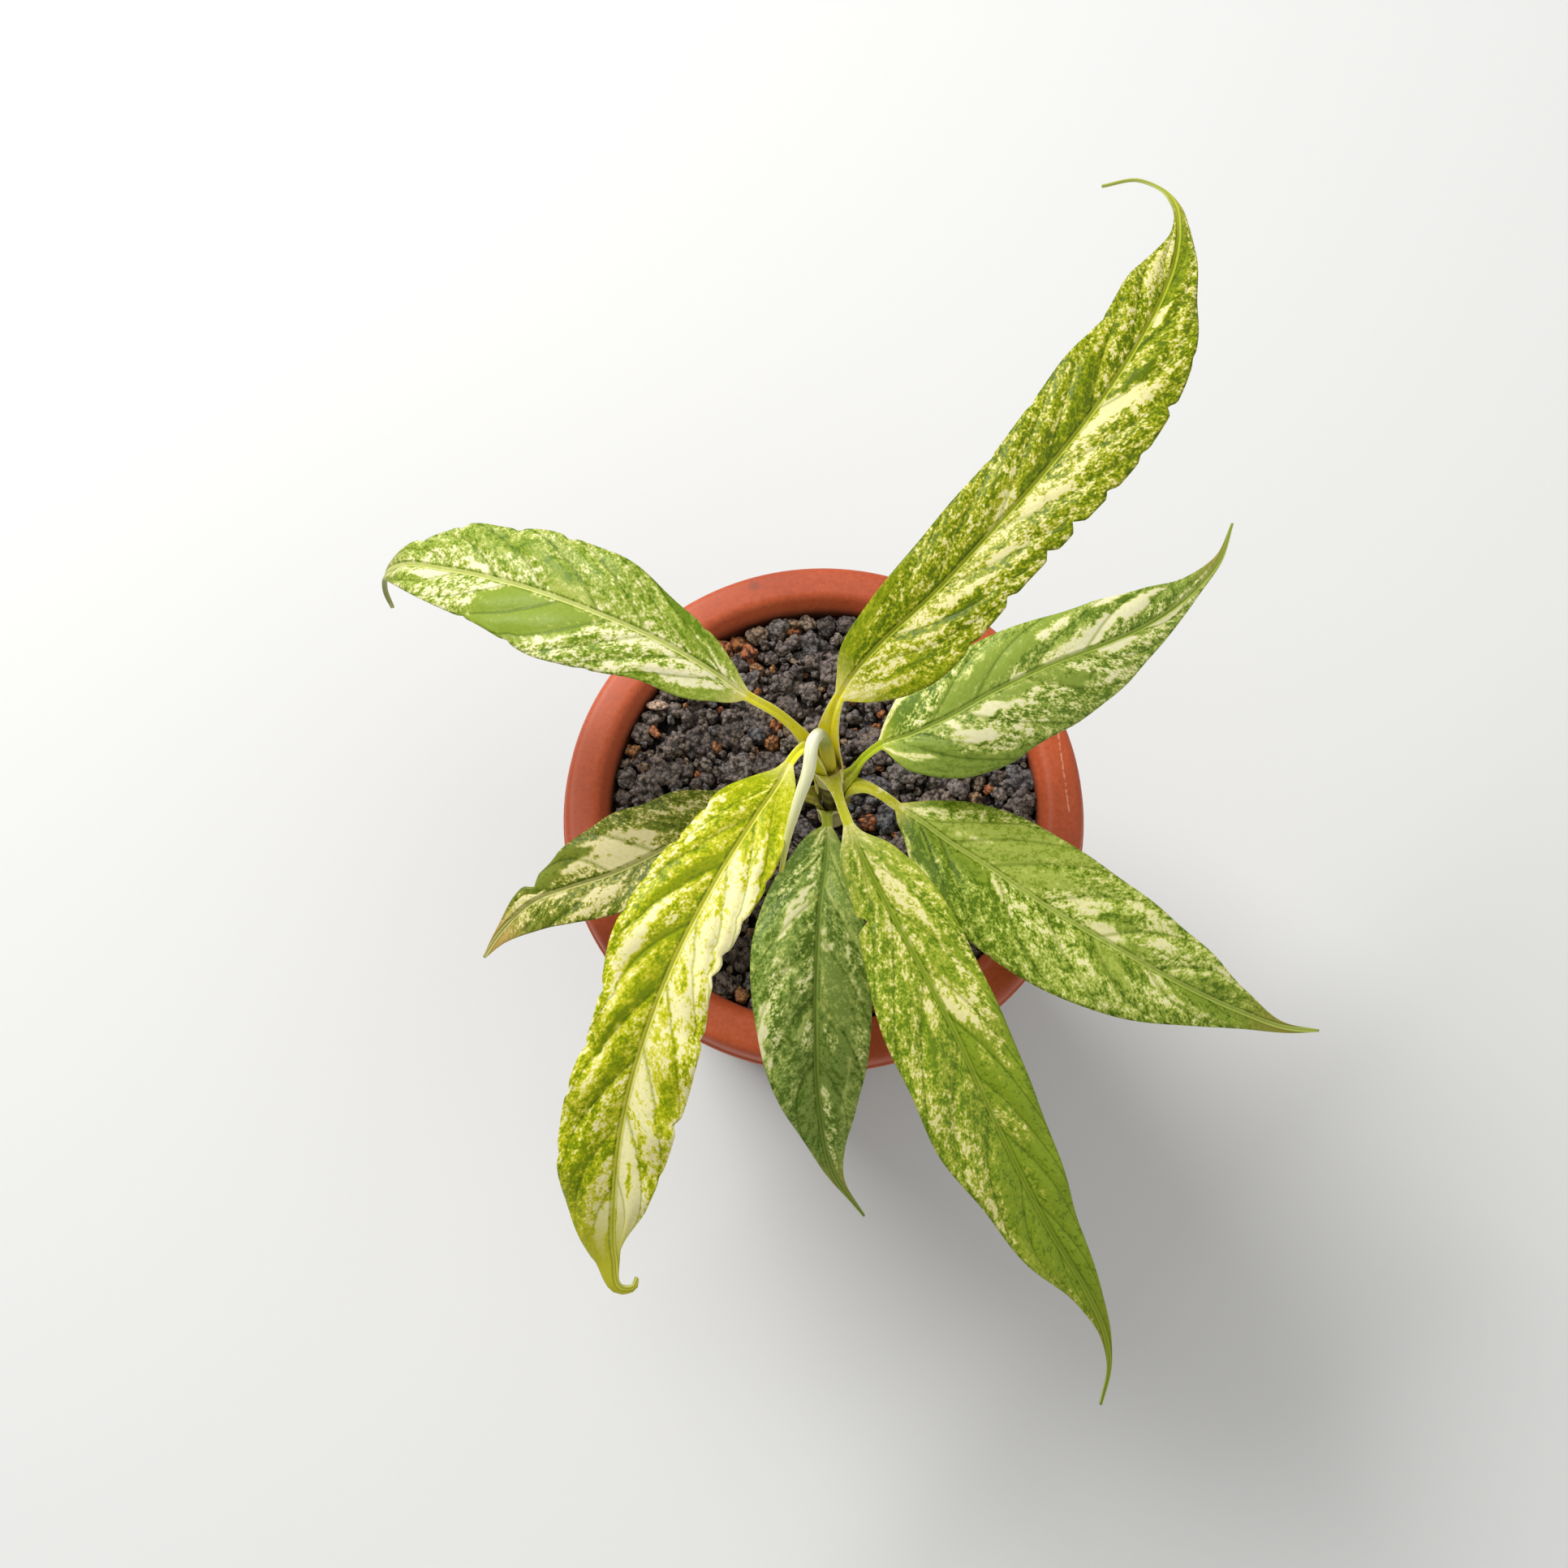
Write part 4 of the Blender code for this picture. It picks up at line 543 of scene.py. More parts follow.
def new_material(name):
    """Empty node material: its tree and its Principled shader."""
    made = bpy.data.materials.new(name)
    made.use_nodes = True
    return made, made.node_tree, made.node_tree.nodes["Principled BSDF"]


def finished(name, bm, finish, replaced):
    """Turn a mesh in millimetres into a piece of the part that rides on its body."""
    bmesh.ops.scale(bm, verts=bm.verts, vec=(MM, MM, MM))
    mesh = bpy.data.meshes.new(name)
    bm.to_mesh(mesh)
    bm.free()
    mesh.shade_smooth()
    mesh.materials.append(finish)
    piece = bpy.data.objects.new(name, mesh)
    bpy.context.scene.collection.objects.link(piece)
    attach(piece, "root")
    if replaced:
        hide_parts(replaced)
    return piece


def lathe(profile, sides):
    """Turn a profile of (radius, height) points about the Z axis."""
    bm = bmesh.new()
    points = [bm.verts.new((radius, 0.0, height)) for radius, height in profile]
    lines = [bm.edges.new(pair) for pair in zip(points, points[1:])]
    bmesh.ops.spin(bm, geom=points + lines, cent=(0, 0, 0), axis=(0, 0, 1),
                   angle=math.tau, steps=sides, use_merge=True)
    bmesh.ops.remove_doubles(bm, verts=bm.verts, dist=0.001)
    bmesh.ops.recalc_face_normals(bm, faces=bm.faces)
    return bm


def rounded(corners, steps=4):
    """Profile with an arc at each corner that names a rounding, as (radius, height, round)."""
    profile = []
    for i, (radius, height, bend) in enumerate(corners):
        here = Vector((radius, height))
        if bend == 0 or i in (0, len(corners) - 1):
            profile.append(here)
            continue
        before = Vector(corners[i - 1][:2]) - here
        after = Vector(corners[i + 1][:2]) - here
        reach = min(bend, 0.49 * before.length, 0.49 * after.length)
        start, end = here + before.normalized() * reach, here + after.normalized() * reach
        for step in range(steps + 1):
            t = step / steps
            profile.append(start.lerp(here, t).lerp(here.lerp(end, t), t))
    return [tuple(point) for point in profile]


def moulded_plastic(settings):
    """Injection-moulded polypropylene, satin, with the faint mottling of its pigment.

    The skin shows a fine grain, one scratch and a smudge on the rim, and inside painted shade with
    some dust.
    """
    made, tree, shader = new_material("moulded_polypropylene")
    place = add(tree, "TexCoord", out="Object")
    cloud = add(tree, "TexNoise", {"Vector": place, "Scale": 1 / (24 * MM), "Detail": 3.0})
    grain = add(tree, "TexNoise", {"Vector": place, "Scale": 1 / (1.1 * MM), "Detail": 4.0,
                                   "Roughness": 0.7})
    mixed = add(tree, "Math", {0: cloud, 1: grain}, operation="ADD")
    halved = add(tree, "Math", {0: mixed, 1: 0.5}, operation="MULTIPLY")
    colour = add(tree, "ValToRGB", {"Fac": halved},
                 stops=[(0.36, settings.shade_hex), (0.5, settings.body_hex),
                        (0.64, settings.light_hex)])
    x, y, z = add(tree, "SeparateXYZ", {0: place}, out=slice(3))
    flat = add(tree, "CombineXYZ", {0: x, 1: y})
    radius = add(tree, "VectorMath", {0: flat}, out="Value", operation="LENGTH")
    # Painted shade with some dust: darker from just under the rim downward, within the mouth's
    # radius
    inside = add(tree, "MapRange", {"Value": radius, "From Min": (MOUTH_RADIUS + 1.6) * MM,
                                    "From Max": (MOUTH_RADIUS + 0.2) * MM})
    deep = add(tree, "MapRange", {"Value": z, "From Min": (POT_HEIGHT - 1.5) * MM,
                                  "From Max": (POT_HEIGHT - 5.0) * MM, "To Max": 0.85})
    dust_and_shade = add(tree, "Math", {0: inside, 1: deep}, operation="MULTIPLY")
    slanted = add(tree, "Math", {0: y, 1: SCUFF_LEAN, 2: x}, operation="MULTIPLY_ADD")
    middle = SCUFF_MIDDLE[0] + SCUFF_LEAN * SCUFF_MIDDLE[1]
    on_line = add(tree, "Math", {0: slanted, 1: middle * MM, 2: 0.22 * MM}, operation="COMPARE")
    in_length = add(tree, "Math", {0: y, 1: SCUFF_MIDDLE[1] * MM, 2: SCUFF_HALF_LENGTH * MM},
                    operation="COMPARE")
    on_top = add(tree, "Math", {0: z, 1: (POT_HEIGHT - 1.5) * MM}, operation="GREATER_THAN")
    broken = add(tree, "MapRange", {"Value": grain, "From Min": 0.4, "From Max": 0.52,
                                    "To Max": 0.7})
    scuff = broken
    for limit in (on_line, in_length, on_top):
        scuff = add(tree, "Math", {0: scuff, 1: limit}, operation="MULTIPLY")
    reach = add(tree, "VectorMath", {0: place, 1: [c * MM for c in SMUDGE_PLACE]},
                out="Value", operation="DISTANCE")
    smudge = add(tree, "MapRange", {"Value": reach, "From Min": 1.9 * MM,
                                    "From Max": 0.6 * MM, "To Max": 0.5})
    for amount, code in ((dust_and_shade, "#3a251c"), (scuff, "#dd9a80"), (smudge, "#7a4233")):
        colour = add(tree, "Mix", {"Factor": amount, 6: colour, 7: linear(code)}, out=2,
                     data_type="RGBA")
    tree.links.new(colour, shader.inputs["Base Color"])
    rough = add(tree, "MapRange", {"Value": grain, "From Min": 0.3, "From Max": 0.7,
                                   "To Min": 0.40, "To Max": 0.56})
    tree.links.new(rough, shader.inputs["Roughness"])
    bump = add(tree, "Bump", {"Strength": 0.25, "Distance": 0.12 * MM, "Height": grain})
    tree.links.new(bump, shader.inputs["Normal"])
    shader.inputs["IOR"].default_value = 1.49
    shader.inputs["Specular IOR Level"].default_value = 0.4
    return made


class PotSettings(bpy.types.PropertyGroup):
    """Sizes and colours of the pot."""
    height: bpy.props.FloatProperty(
        name="Height", description="Height of the pot to the top of its rim",
        default=POT_HEIGHT * MM, unit="LENGTH")
    rim_radius: bpy.props.FloatProperty(
        name="Rim radius", description="Outer radius of the rolled rim",
        default=RIM_RADIUS * MM, unit="LENGTH")
    body_hex: bpy.props.StringProperty(
        name="Body colour", description="sRGB hex value of the plastic", default="#b9522b")
    light_hex: bpy.props.StringProperty(
        name="Light tone", description="sRGB hex value of its lighter mottles",
        default="#c75e39")
    shade_hex: bpy.props.StringProperty(
        name="Dark tone", description="sRGB hex value of its darker mottles",
        default="#aa4724")


class MakePot(bpy.types.Operator):
    """Turn the pot with its rolled rim, foot ring and drain holes"""
    bl_idname = "aglaonema.pot"
    bl_label = "Pot"

    def execute(self, context):
        settings = context.scene.aglaonema_pot
        top, rim = settings.height / MM, settings.rim_radius / MM
        mouth, skirt = top - MOUTH_DROP, top - RIM_DEPTH
        corners = [(0.0, 0.0, 0), (CENTRE_PAD_RADIUS, 0.0, 0.6),
                   (CENTRE_PAD_RADIUS + FOOT_RECESS, FOOT_RECESS, 0.6),
                   (FOOT_RADIUS - 6.5, FOOT_RECESS, 0.6), (FOOT_RADIUS - 5.0, 0.0, 0.5),
                   (FOOT_RADIUS, 0.0, 1.4), (MOUTH_RADIUS + WALL, mouth, 1.0),
                   (RIM_CREASE_RADIUS, top - WALL, 1.2), (rim - 2.1, top - WALL - 0.4, 1.6),
                   (rim - 1.7, skirt, 0.4), (rim + RIM_LIP, skirt, 0.4),
                   (rim + RIM_LIP, skirt + 1.5, 0.5), (rim, skirt + 1.9, 0.4),
                   (rim - 0.05, top - 0.55, 2.6), (RIM_CREASE_RADIUS + 0.3, top + 0.05, 1.6),
                   (MOUTH_RADIUS, mouth, 1.0), (FOOT_RADIUS - WALL, FLOOR, 1.5),
                   (0.0, FLOOR, 0)]
        bm = lathe(rounded(corners, 5), POT_SIDES)
        pot = finished("pot_shell", bm, moulded_plastic(settings), "pot")
        drains = bmesh.new()
        for number in range(DRAIN_HOLES):
            angle = math.tau * number / DRAIN_HOLES
            centre = Vector((math.cos(angle), math.sin(angle), 0.0)) * DRAIN_RING_RADIUS * MM
            bmesh.ops.create_cone(drains, cap_ends=True, segments=32,
                                  radius1=DRAIN_HOLE_RADIUS * MM,
                                  radius2=DRAIN_HOLE_RADIUS * MM, depth=4 * FLOOR * MM,
                                  matrix=Matrix.Translation(centre))
        cut_away(pot, drains)
        pot.data.set_sharp_from_angle(angle=math.radians(40))
        return {"FINISHED"}


def cut_away(piece, cutters):
    """Cut the shapes in a mesh out of a piece."""
    mesh = bpy.data.meshes.new("cutter")
    cutters.to_mesh(mesh)
    cutters.free()
    tool = bpy.data.objects.new("cutter", mesh)
    bpy.context.scene.collection.objects.link(tool)
    modifier = piece.modifiers.new("cut", "BOOLEAN")
    modifier.object = tool
    modifier.solver = "EXACT"
    evaluated = piece.evaluated_get(bpy.context.evaluated_depsgraph_get())
    result = bpy.data.meshes.new_from_object(evaluated)
    piece.modifiers.clear()
    piece.data = result
    bpy.data.objects.remove(tool, do_unlink=True)


def inner_radius(height):
    """Radius of the pot's inner wall at a height."""
    start = FOOT_RADIUS - WALL
    share = (height - FLOOR) / (POT_HEIGHT - MOUTH_DROP - FLOOR)
    return start + (MOUTH_RADIUS - start) * share


def stem_axis(height):
    """Point of the stem's centre line at a height."""
    foot, top = Vector(STEM_FOOT), Vector(STEM_TOP)
    return foot.lerp(top, (height - foot.z) / (top.z - foot.z))


def scoria():
    """Scoria: crumbly volcanic stone, grey-brown, with a few tan and rusty stones.

    The surface is knobs with crevices between them, and gas bubbles as pits; the crevices and pits
    are darkened with painted shade, and the mottle's raised spots are lighter tan, partly tan
    grains and partly painted highlight. The attribute "stone" holds each stone's own tone from 0
    to 1.
    """
    made, tree, shader = new_material("scoria")
    place = add(tree, "TexCoord", out="Object")
    tone = add(tree, "Attribute", out="Fac", attribute_name="stone")
    colour = add(tree, "ValToRGB", {"Fac": tone},
                 stops=[(0.0, "#3b3534"), (0.05, "#6a605d"), (0.3, "#7d716c"),
                        (0.55, "#94867d"), (0.68, "#6f7076"), (0.78, "#8f8074"),
                        (0.86, "#b08a62"), (0.92, "#b8713f"), (0.97, "#bd7450"),
                        (1.0, "#e2bfa8")])
    mottle = add(tree, "TexNoise", {"Vector": place, "Scale": 1 / (2.4 * MM), "Detail": 5.0,
                                    "Roughness": 0.75})
    # Lighter tan on the mottle's raised spots: partly tan grains, partly painted highlight
    tan_and_highlight = add(tree, "MapRange", {"Value": mottle, "From Min": 0.52, "From Max": 0.72,
                                   "To Max": 0.55})
    dark = add(tree, "MapRange", {"Value": mottle, "From Min": 0.48, "From Max": 0.34,
                                  "To Max": 0.75})
    knobs = add(tree, "TexVoronoi", {"Vector": place, "Scale": 1 / (1.25 * MM)})
    # Painted shade: darker in the crevices between the knobs
    crevice_shade = add(tree, "MapRange", {"Value": knobs, "From Min": 0.42, "From Max": 0.8,
                                     "To Max": 0.9})
    pits = add(tree, "TexVoronoi", {"Vector": place, "Scale": 1 / (0.8 * MM)})
    # Painted shade: darker in the gas pits, which the bump sinks
    pit_depth_and_shade = add(tree, "MapRange", {"Value": pits, "From Min": 0.3, "From Max": 0.15,
                                 "To Max": 0.7})
    for amount, code in ((tan_and_highlight, "#b89c7c"), (dark, "#3e3836"), (crevice_shade, "#292221"),
                         (pit_depth_and_shade, "#2a2422")):
        colour = add(tree, "Mix", {"Factor": amount, 6: colour, 7: linear(code)}, out=2,
                     data_type="RGBA")
    tree.links.new(colour, shader.inputs["Base Color"])
    shader.inputs["Roughness"].default_value = 0.95
    shader.inputs["Specular IOR Level"].default_value = 0.2
    normal = (0.0, 0.0, 0.0)
    for height, depth in ((knobs, -0.7), (mottle, 0.6), (pit_depth_and_shade, -0.4)):
        rise = add(tree, "Math", {0: height, 1: depth}, operation="MULTIPLY")
        inputs = {"Strength": 0.9, "Distance": 1.0 * MM, "Height": rise}
        if isinstance(normal, bpy.types.NodeSocket):
            inputs["Normal"] = normal
        normal = add(tree, "Bump", inputs)
    tree.links.new(normal, shader.inputs["Normal"])
    return made


def stone_places(rng):
    """Stones along the wall, then big, middle and small ones: (x, y, radius, size)."""
    places = []
    widest = inner_radius(BED_TOP) - GAP
    axis = stem_axis(BED_TOP + 4)
    angle = 0.0
    while angle < math.tau:
        radius = rng.uniform(1.5, 3.4)
        reach = widest - 0.85 * radius
        angle += 0.95 * radius / reach
        size = "big" if radius > STONE_SIZES["middle"][0][1] else "middle"
        places.append((reach * math.cos(angle), reach * math.sin(angle), radius, size))
        angle += 0.95 * radius / reach
    for size, (limits, tries, *_) in STONE_SIZES.items():
        for _ in range(tries):
            radius = limits[0] + (limits[1] - limits[0]) * rng.random() ** 1.5
            reach = (widest - 0.85 * radius) * math.sqrt(rng.random())
            angle = rng.uniform(0, math.tau)
            x, y = reach * math.cos(angle), reach * math.sin(angle)
            if math.hypot(x - axis.x, y - axis.y) < STEM_FREE_RADIUS + radius:
                continue
            if all(math.hypot(x - a, y - b) > STONE_CLOSENESS * (radius + c)
                   for a, b, c, _ in places):
                places.append((x, y, radius, size))
    return places


def rough_stone(rng, bm, layer, place, radius, top, faces):
    """Add one craggy stone to a mesh: a ball pushed in and out by noise and knobs."""
    made = bmesh.ops.create_icosphere(bm, subdivisions=faces, radius=1.0)["verts"]
    tone = rng.uniform(0.05, 0.8 if radius > 3.0 else 0.97)
    stray = Vector([rng.uniform(-50, 50) for _ in range(3)])
    stretch = Vector([rng.uniform(0.85, 1.25), rng.uniform(0.8, 1.1), rng.uniform(0.7, 1.0)])
    turn = Matrix.Rotation(rng.uniform(0, math.tau), 3, "Z") @ Matrix.Rotation(
        rng.uniform(0, math.tau), 3, "X")
    for vert in made:
        out = vert.co.normalized()
        lumps = noise.noise(out * 1.3 + stray) * 0.5
        crags = noise.noise(out * 3.0 + stray) * 0.35
        knobs = 0.35 - noise.voronoi(out * 0.55 * radius + stray)[0][0] * 0.55
        vert.co = turn @ (out * stretch * radius * (1 + lumps + crags + 0.5 * knobs))
        vert[layer] = tone
    highest = max(vert.co.z for vert in made)
    bmesh.ops.translate(bm, vec=(place[0], place[1], top - highest), verts=made)


class MakeGravel(bpy.types.Operator):
    """Fill the pot with scoria: a rough bed, three sizes of stones and one pale chip"""
    bl_idname = "aglaonema.gravel"
    bl_label = "Gravel"

    def execute(self, context):
        rng = random.Random(STONE_SEED)
        finish = scoria()
        bed = lathe([(0.0, FLOOR + GAP), (inner_radius(FLOOR) - GAP, FLOOR + GAP),
                     (inner_radius(BED_TOP) - GAP, BED_TOP), (0.0, BED_TOP)], 96)
        finished("gravel_bed", bed, finish, "gravel")
        heaps = {size: bmesh.new() for size in STONE_SIZES}
        layers = {size: heap.verts.layers.float.new("stone") for size, heap in heaps.items()}
        for x, y, radius, size in stone_places(rng):
            _, _, highest, spread, faces = STONE_SIZES[size]
            top = highest - abs(rng.gauss(0, spread))
            rough_stone(rng, heaps[size], layers[size], (x, y), radius, top, faces)
        chip = bmesh.ops.create_icosphere(heaps["small"], subdivisions=3, radius=1.0)["verts"]
        for vert in chip:
            vert[layers["small"]] = 1.0
        bmesh.ops.scale(heaps["small"], vec=CHIP_RADII, verts=chip)
        bmesh.ops.translate(heaps["small"], vec=CHIP_PLACE, verts=chip)
        for size, heap in heaps.items():
            finished("gravel_" + size + "_stones", heap, finish, "gravel")
        return {"FINISHED"}


def cane_bark():
    """Young aglaonema cane: olive skin with brown leaf scars, pale yellow at the crown."""
    made, tree, shader = new_material("aglaonema_cane")
    place = add(tree, "TexCoord", out="Object")
    blotch = add(tree, "TexNoise", {"Vector": place, "Scale": 1 / (1.6 * MM), "Detail": 4.0})
    rings = add(tree, "TexWave", {"Vector": place, "Scale": 0.31 / (6 * MM),
                                  "Distortion": 1.5, "Detail": 2.0}, out="Fac",
                wave_type="BANDS", bands_direction="Z")
    skin = add(tree, "ValToRGB", {"Fac": blotch},
               stops=[(0.35, "#6d6630"), (0.55, "#8d8a45"), (0.7, "#a5a067")])
    height = add(tree, "SeparateXYZ", {0: place}, out="Z")
    young = add(tree, "MapRange", {"Value": height, "From Min": 138 * MM,
                                   "From Max": 147 * MM, "To Max": 0.9})
    for amount, code in ((rings, "#5c4a2c"), (young, "#ddcb5c")):
        skin = add(tree, "Mix", {"Factor": amount, 6: skin, 7: linear(code)}, out=2,
                   data_type="RGBA")
    tree.links.new(skin, shader.inputs["Base Color"])
    shader.inputs["Roughness"].default_value = 0.6
    bump = add(tree, "Bump", {"Strength": 0.5, "Distance": 0.2 * MM, "Height": blotch})
    tree.links.new(bump, shader.inputs["Normal"])
    return made


class MakeStem(bpy.types.Operator):
    """Turn the leaning cane with its leaf scars"""
    bl_idname = "aglaonema.stem"
    bl_label = "Stem"

    def execute(self, context):
        direction = Vector(STEM_TOP) - Vector(STEM_FOOT)
        length = direction.length
        profile = [(0.0, 0.0), (STEM_RADIUS, 0.0)]
        for number in range(3, int(length / SCAR_PITCH)):
            height = number * SCAR_PITCH
            profile += [(STEM_RADIUS, height - 1.2), (STEM_RADIUS + 0.6 * SCAR_RISE, height - 0.5),
                        (STEM_RADIUS + SCAR_RISE, height), (STEM_RADIUS - 0.05, height + 0.4)]
        profile += [(STEM_RADIUS, length - 2.0), (STEM_RADIUS * 0.9, length - 0.9),
                    (STEM_RADIUS * 0.55, length - 0.2), (0.0, length)]
        bm = lathe(profile, STEM_SIDES)
        turn = direction.to_track_quat("Z", "Y").to_matrix().to_4x4()
        bmesh.ops.transform(bm, matrix=Matrix.Translation(STEM_FOOT) @ turn, verts=bm.verts)
        finished("stem_cane", bm, cane_bark(), "stem")
        return {"FINISHED"}


def smooth(knots, values, at):
    """Values of the smooth curve that passes through the given knots."""
    knots = np.asarray(knots, float)
    values = np.asarray(values, float).reshape(len(knots), -1)
    step = np.diff(knots)[:, None]
    slope = np.diff(values, axis=0) / step
    inner = (slope[:-1] * step[1:] + slope[1:] * step[:-1]) / (step[1:] + step[:-1])
    tangent = np.vstack([slope[:1], inner, slope[-1:]])
    at = np.clip(at, knots[0], knots[-1])
    i = np.clip(np.searchsorted(knots, at, side="right") - 1, 0, len(knots) - 2)
    t = ((at - knots[i]) / step[i, 0])[:, None]
    return ((1 + 2 * t) * (1 - t) ** 2 * values[i]
            + t * (1 - t) ** 2 * step[i] * tangent[i]
            + t * t * (3 - 2 * t) * values[i + 1]
            + t * t * (t - 1) * step[i] * tangent[i + 1])


def lengths(points):
    """Distance from the first point to each point, along the line."""
    hops = np.linalg.norm(np.diff(points, axis=0), axis=1)
    return np.concatenate([[0.0], np.cumsum(hops)])


def centre_line(leaf):
    """Fine points of a leaf's centre line and the length of its petiole."""
    azimuth, bottom, top, _, nest = leaf["sheath"]
    out = Vector((math.cos(math.radians(azimuth)), math.sin(math.radians(azimuth)), 0.0))
    clasp = [stem_axis(height) + out * (SHEATH_RADIUS + nest) for height in (bottom, top)]
    points = np.array([tuple(p) for p in clasp] + leaf["petiole"] + leaf["rib"])
    knots = lengths(points)
    fine = np.linspace(0.0, knots[-1], LINE_POINTS)
    line = smooth(knots, points, fine)
    run = lengths(line)
    petiole_length = np.interp(knots[2 + len(leaf["petiole"])], fine, run)
    return line, run, petiole_length


def frames(line, level_at):
    """Lateral and normal directions that follow the line without spinning."""
    along = np.gradient(line, axis=0)
    along /= np.linalg.norm(along, axis=1)[:, None]
    lateral = np.zeros_like(along)
    level = np.cross((0.0, 0.0, 1.0), along[level_at])
    lateral[level_at] = level / np.linalg.norm(level)
    for order in (range(level_at + 1, len(line)), range(level_at - 1, -1, -1)):
        for i in order:
            before = i - 1 if i > level_at else i + 1
            carried = lateral[before] - along[i] * (lateral[before] @ along[i])
            lateral[i] = carried / np.linalg.norm(carried)
    return lateral, np.cross(along, lateral)


def leaf_frames(line, run, petiole_length):
    """Frames of a leaf: blade level across its middle, sheath facing the stem."""
    level_run = petiole_length + LEVEL_AT * (run[-1] - petiole_length)
    lateral, normal = frames(line, int(np.searchsorted(run, level_run)))
    inward = np.array(stem_axis(line[0, 2])) - line[0]
    off = math.atan2(-(inward @ lateral[0]), inward @ normal[0])
    fade = np.clip(1.0 - run / petiole_length, 0.0, 1.0)
    angle = off * fade * fade * (3 - 2 * fade)
    cos, sin = np.cos(angle)[:, None], np.sin(angle)[:, None]
    return lateral * cos + normal * sin, normal * cos - lateral * sin


def half_widths(leaf, side, run, petiole_length, blade_length):
    """Half width of the leaf on one side at each distance along it."""
    _, bottom, top, clasp, nest = leaf["sheath"]
    sheath_length = top - bottom
    clasp_width = (SHEATH_RADIUS + nest) * math.radians(clasp)
    petiole, wings_end = leaf["stalk"]
    stalk = smooth([0.0, 0.8 * sheath_length, wings_end * petiole_length, petiole_length],
                   [clasp_width, clasp_width, petiole, 0.5 * (petiole + leaf[side][0])],
                   run)[:, 0]
    part = np.clip((run - petiole_length) / blade_length, 0.0, 1.0)
    blade = smooth(STATIONS, leaf[side], part)[:, 0]
    for at, depth in leaf[side + "_notches"]:
        away = np.abs(part - at) * blade_length / NOTCH_REACH
        blade -= depth * np.clip(1.0 - away, 0.0, 1.0) ** 1.2
    return np.where(run < petiole_length, stalk, np.maximum(blade, TIP_HALF_WIDTH))


def vein_run(u):
    """How far tipward a side vein has run, as part of the blade's length."""
    return VEIN_LEAN * u + VEIN_BEND * u ** 3


def half_section(leaf, sign, width, part, clasping, radius):
    """Across positions, heights and rib detail of one half of a cross-section."""
    u = np.linspace(0.0, 1.0, COLUMNS) ** 1.3
    across = u * width
    height = across * (leaf["fold"] - leaf["sag"] * u) * (1 - clasping)
    if part > 0:
        taper = math.sin(math.pi * min(part, 1.0)) ** 0.5 * min(1.0, width / 6.0)
        starts = leaf["vein_starts"][0 if sign > 0 else 1]
        phase = np.interp(part - vein_run(u), starts, np.arange(len(starts)),
                          left=0.0, right=len(starts) - 1.0)
        pillow = np.abs(np.sin(math.pi * phase)) ** 0.8
        height += leaf["pleat"] * taper * 4 * u * (1 - u) * (pillow - 0.5)
        ripple = 2 * math.pi * leaf["veins"] * part + (0.0 if sign > 0 else 1.7)
        height += leaf["wave"] * taper * u * u * math.sin(ripple)
    channel = -RIB_CHANNEL * np.exp(-(across / 0.5) ** 2)
    channel += RIB_RIDGE * np.exp(-((across - 0.95) / 0.3) ** 2)
    channel *= (1 - clasping) * min(1.0, width / 4.0)
    if clasping > 0:
        bend = clasping / radius
        height += (1 - np.cos(across * bend)) / bend
        across = np.sin(across * bend) / bend
    return across, height, channel, u


def section(leaf, widths, part, clasping, run_from_base, petiole_length):
    """Upper and lower outline of one cross-section, from left to right margin."""
    radius = SHEATH_RADIUS + leaf["sheath"][4]
    left = half_section(leaf, 1, widths[0], part, clasping, radius)
    right = half_section(leaf, -1, widths[1], part, clasping, radius)
    across = np.concatenate([left[0][::-1], -right[0][1:]])
    height, channel, u = (np.concatenate([left[k][::-1], right[k][1:]]) for k in (1, 2, 3))
    slope_x, slope_y = np.gradient(across), np.gradient(height)
    size = np.hypot(slope_x, slope_y)
    down_x, down_y = -slope_y / size, slope_x / size

    round_bulge = np.sqrt(np.clip(1 - u ** 2, 0, 1))
    rib_bulge = np.exp(-(across / RIB_SPREAD) ** 2)
    stalk = float(np.clip((3.2 - min(widths)) / 1.6, 0, 1))
    bulge = stalk * round_bulge + (1 - stalk) * rib_bulge
    if part > 0:
        rib_depth = PETIOLE_DEPTH + (RIB_DEPTH_AT_TIP - PETIOLE_DEPTH) * min(part, 1) ** 0.5
    else:
        opening = min(1.0, run_from_base / petiole_length * 2.5)
        rib_depth = SHEATH_THICKNESS + (PETIOLE_DEPTH - SHEATH_THICKNESS) * opening
    blade_depth = BLADE_THICKNESS + (EDGE_THICKNESS - BLADE_THICKNESS) * u ** 4
    depth = blade_depth + (rib_depth - blade_depth) * bulge
    low_x, low_y = across + down_x * depth, height + down_y * depth
    return across, height + channel, low_x, low_y, u


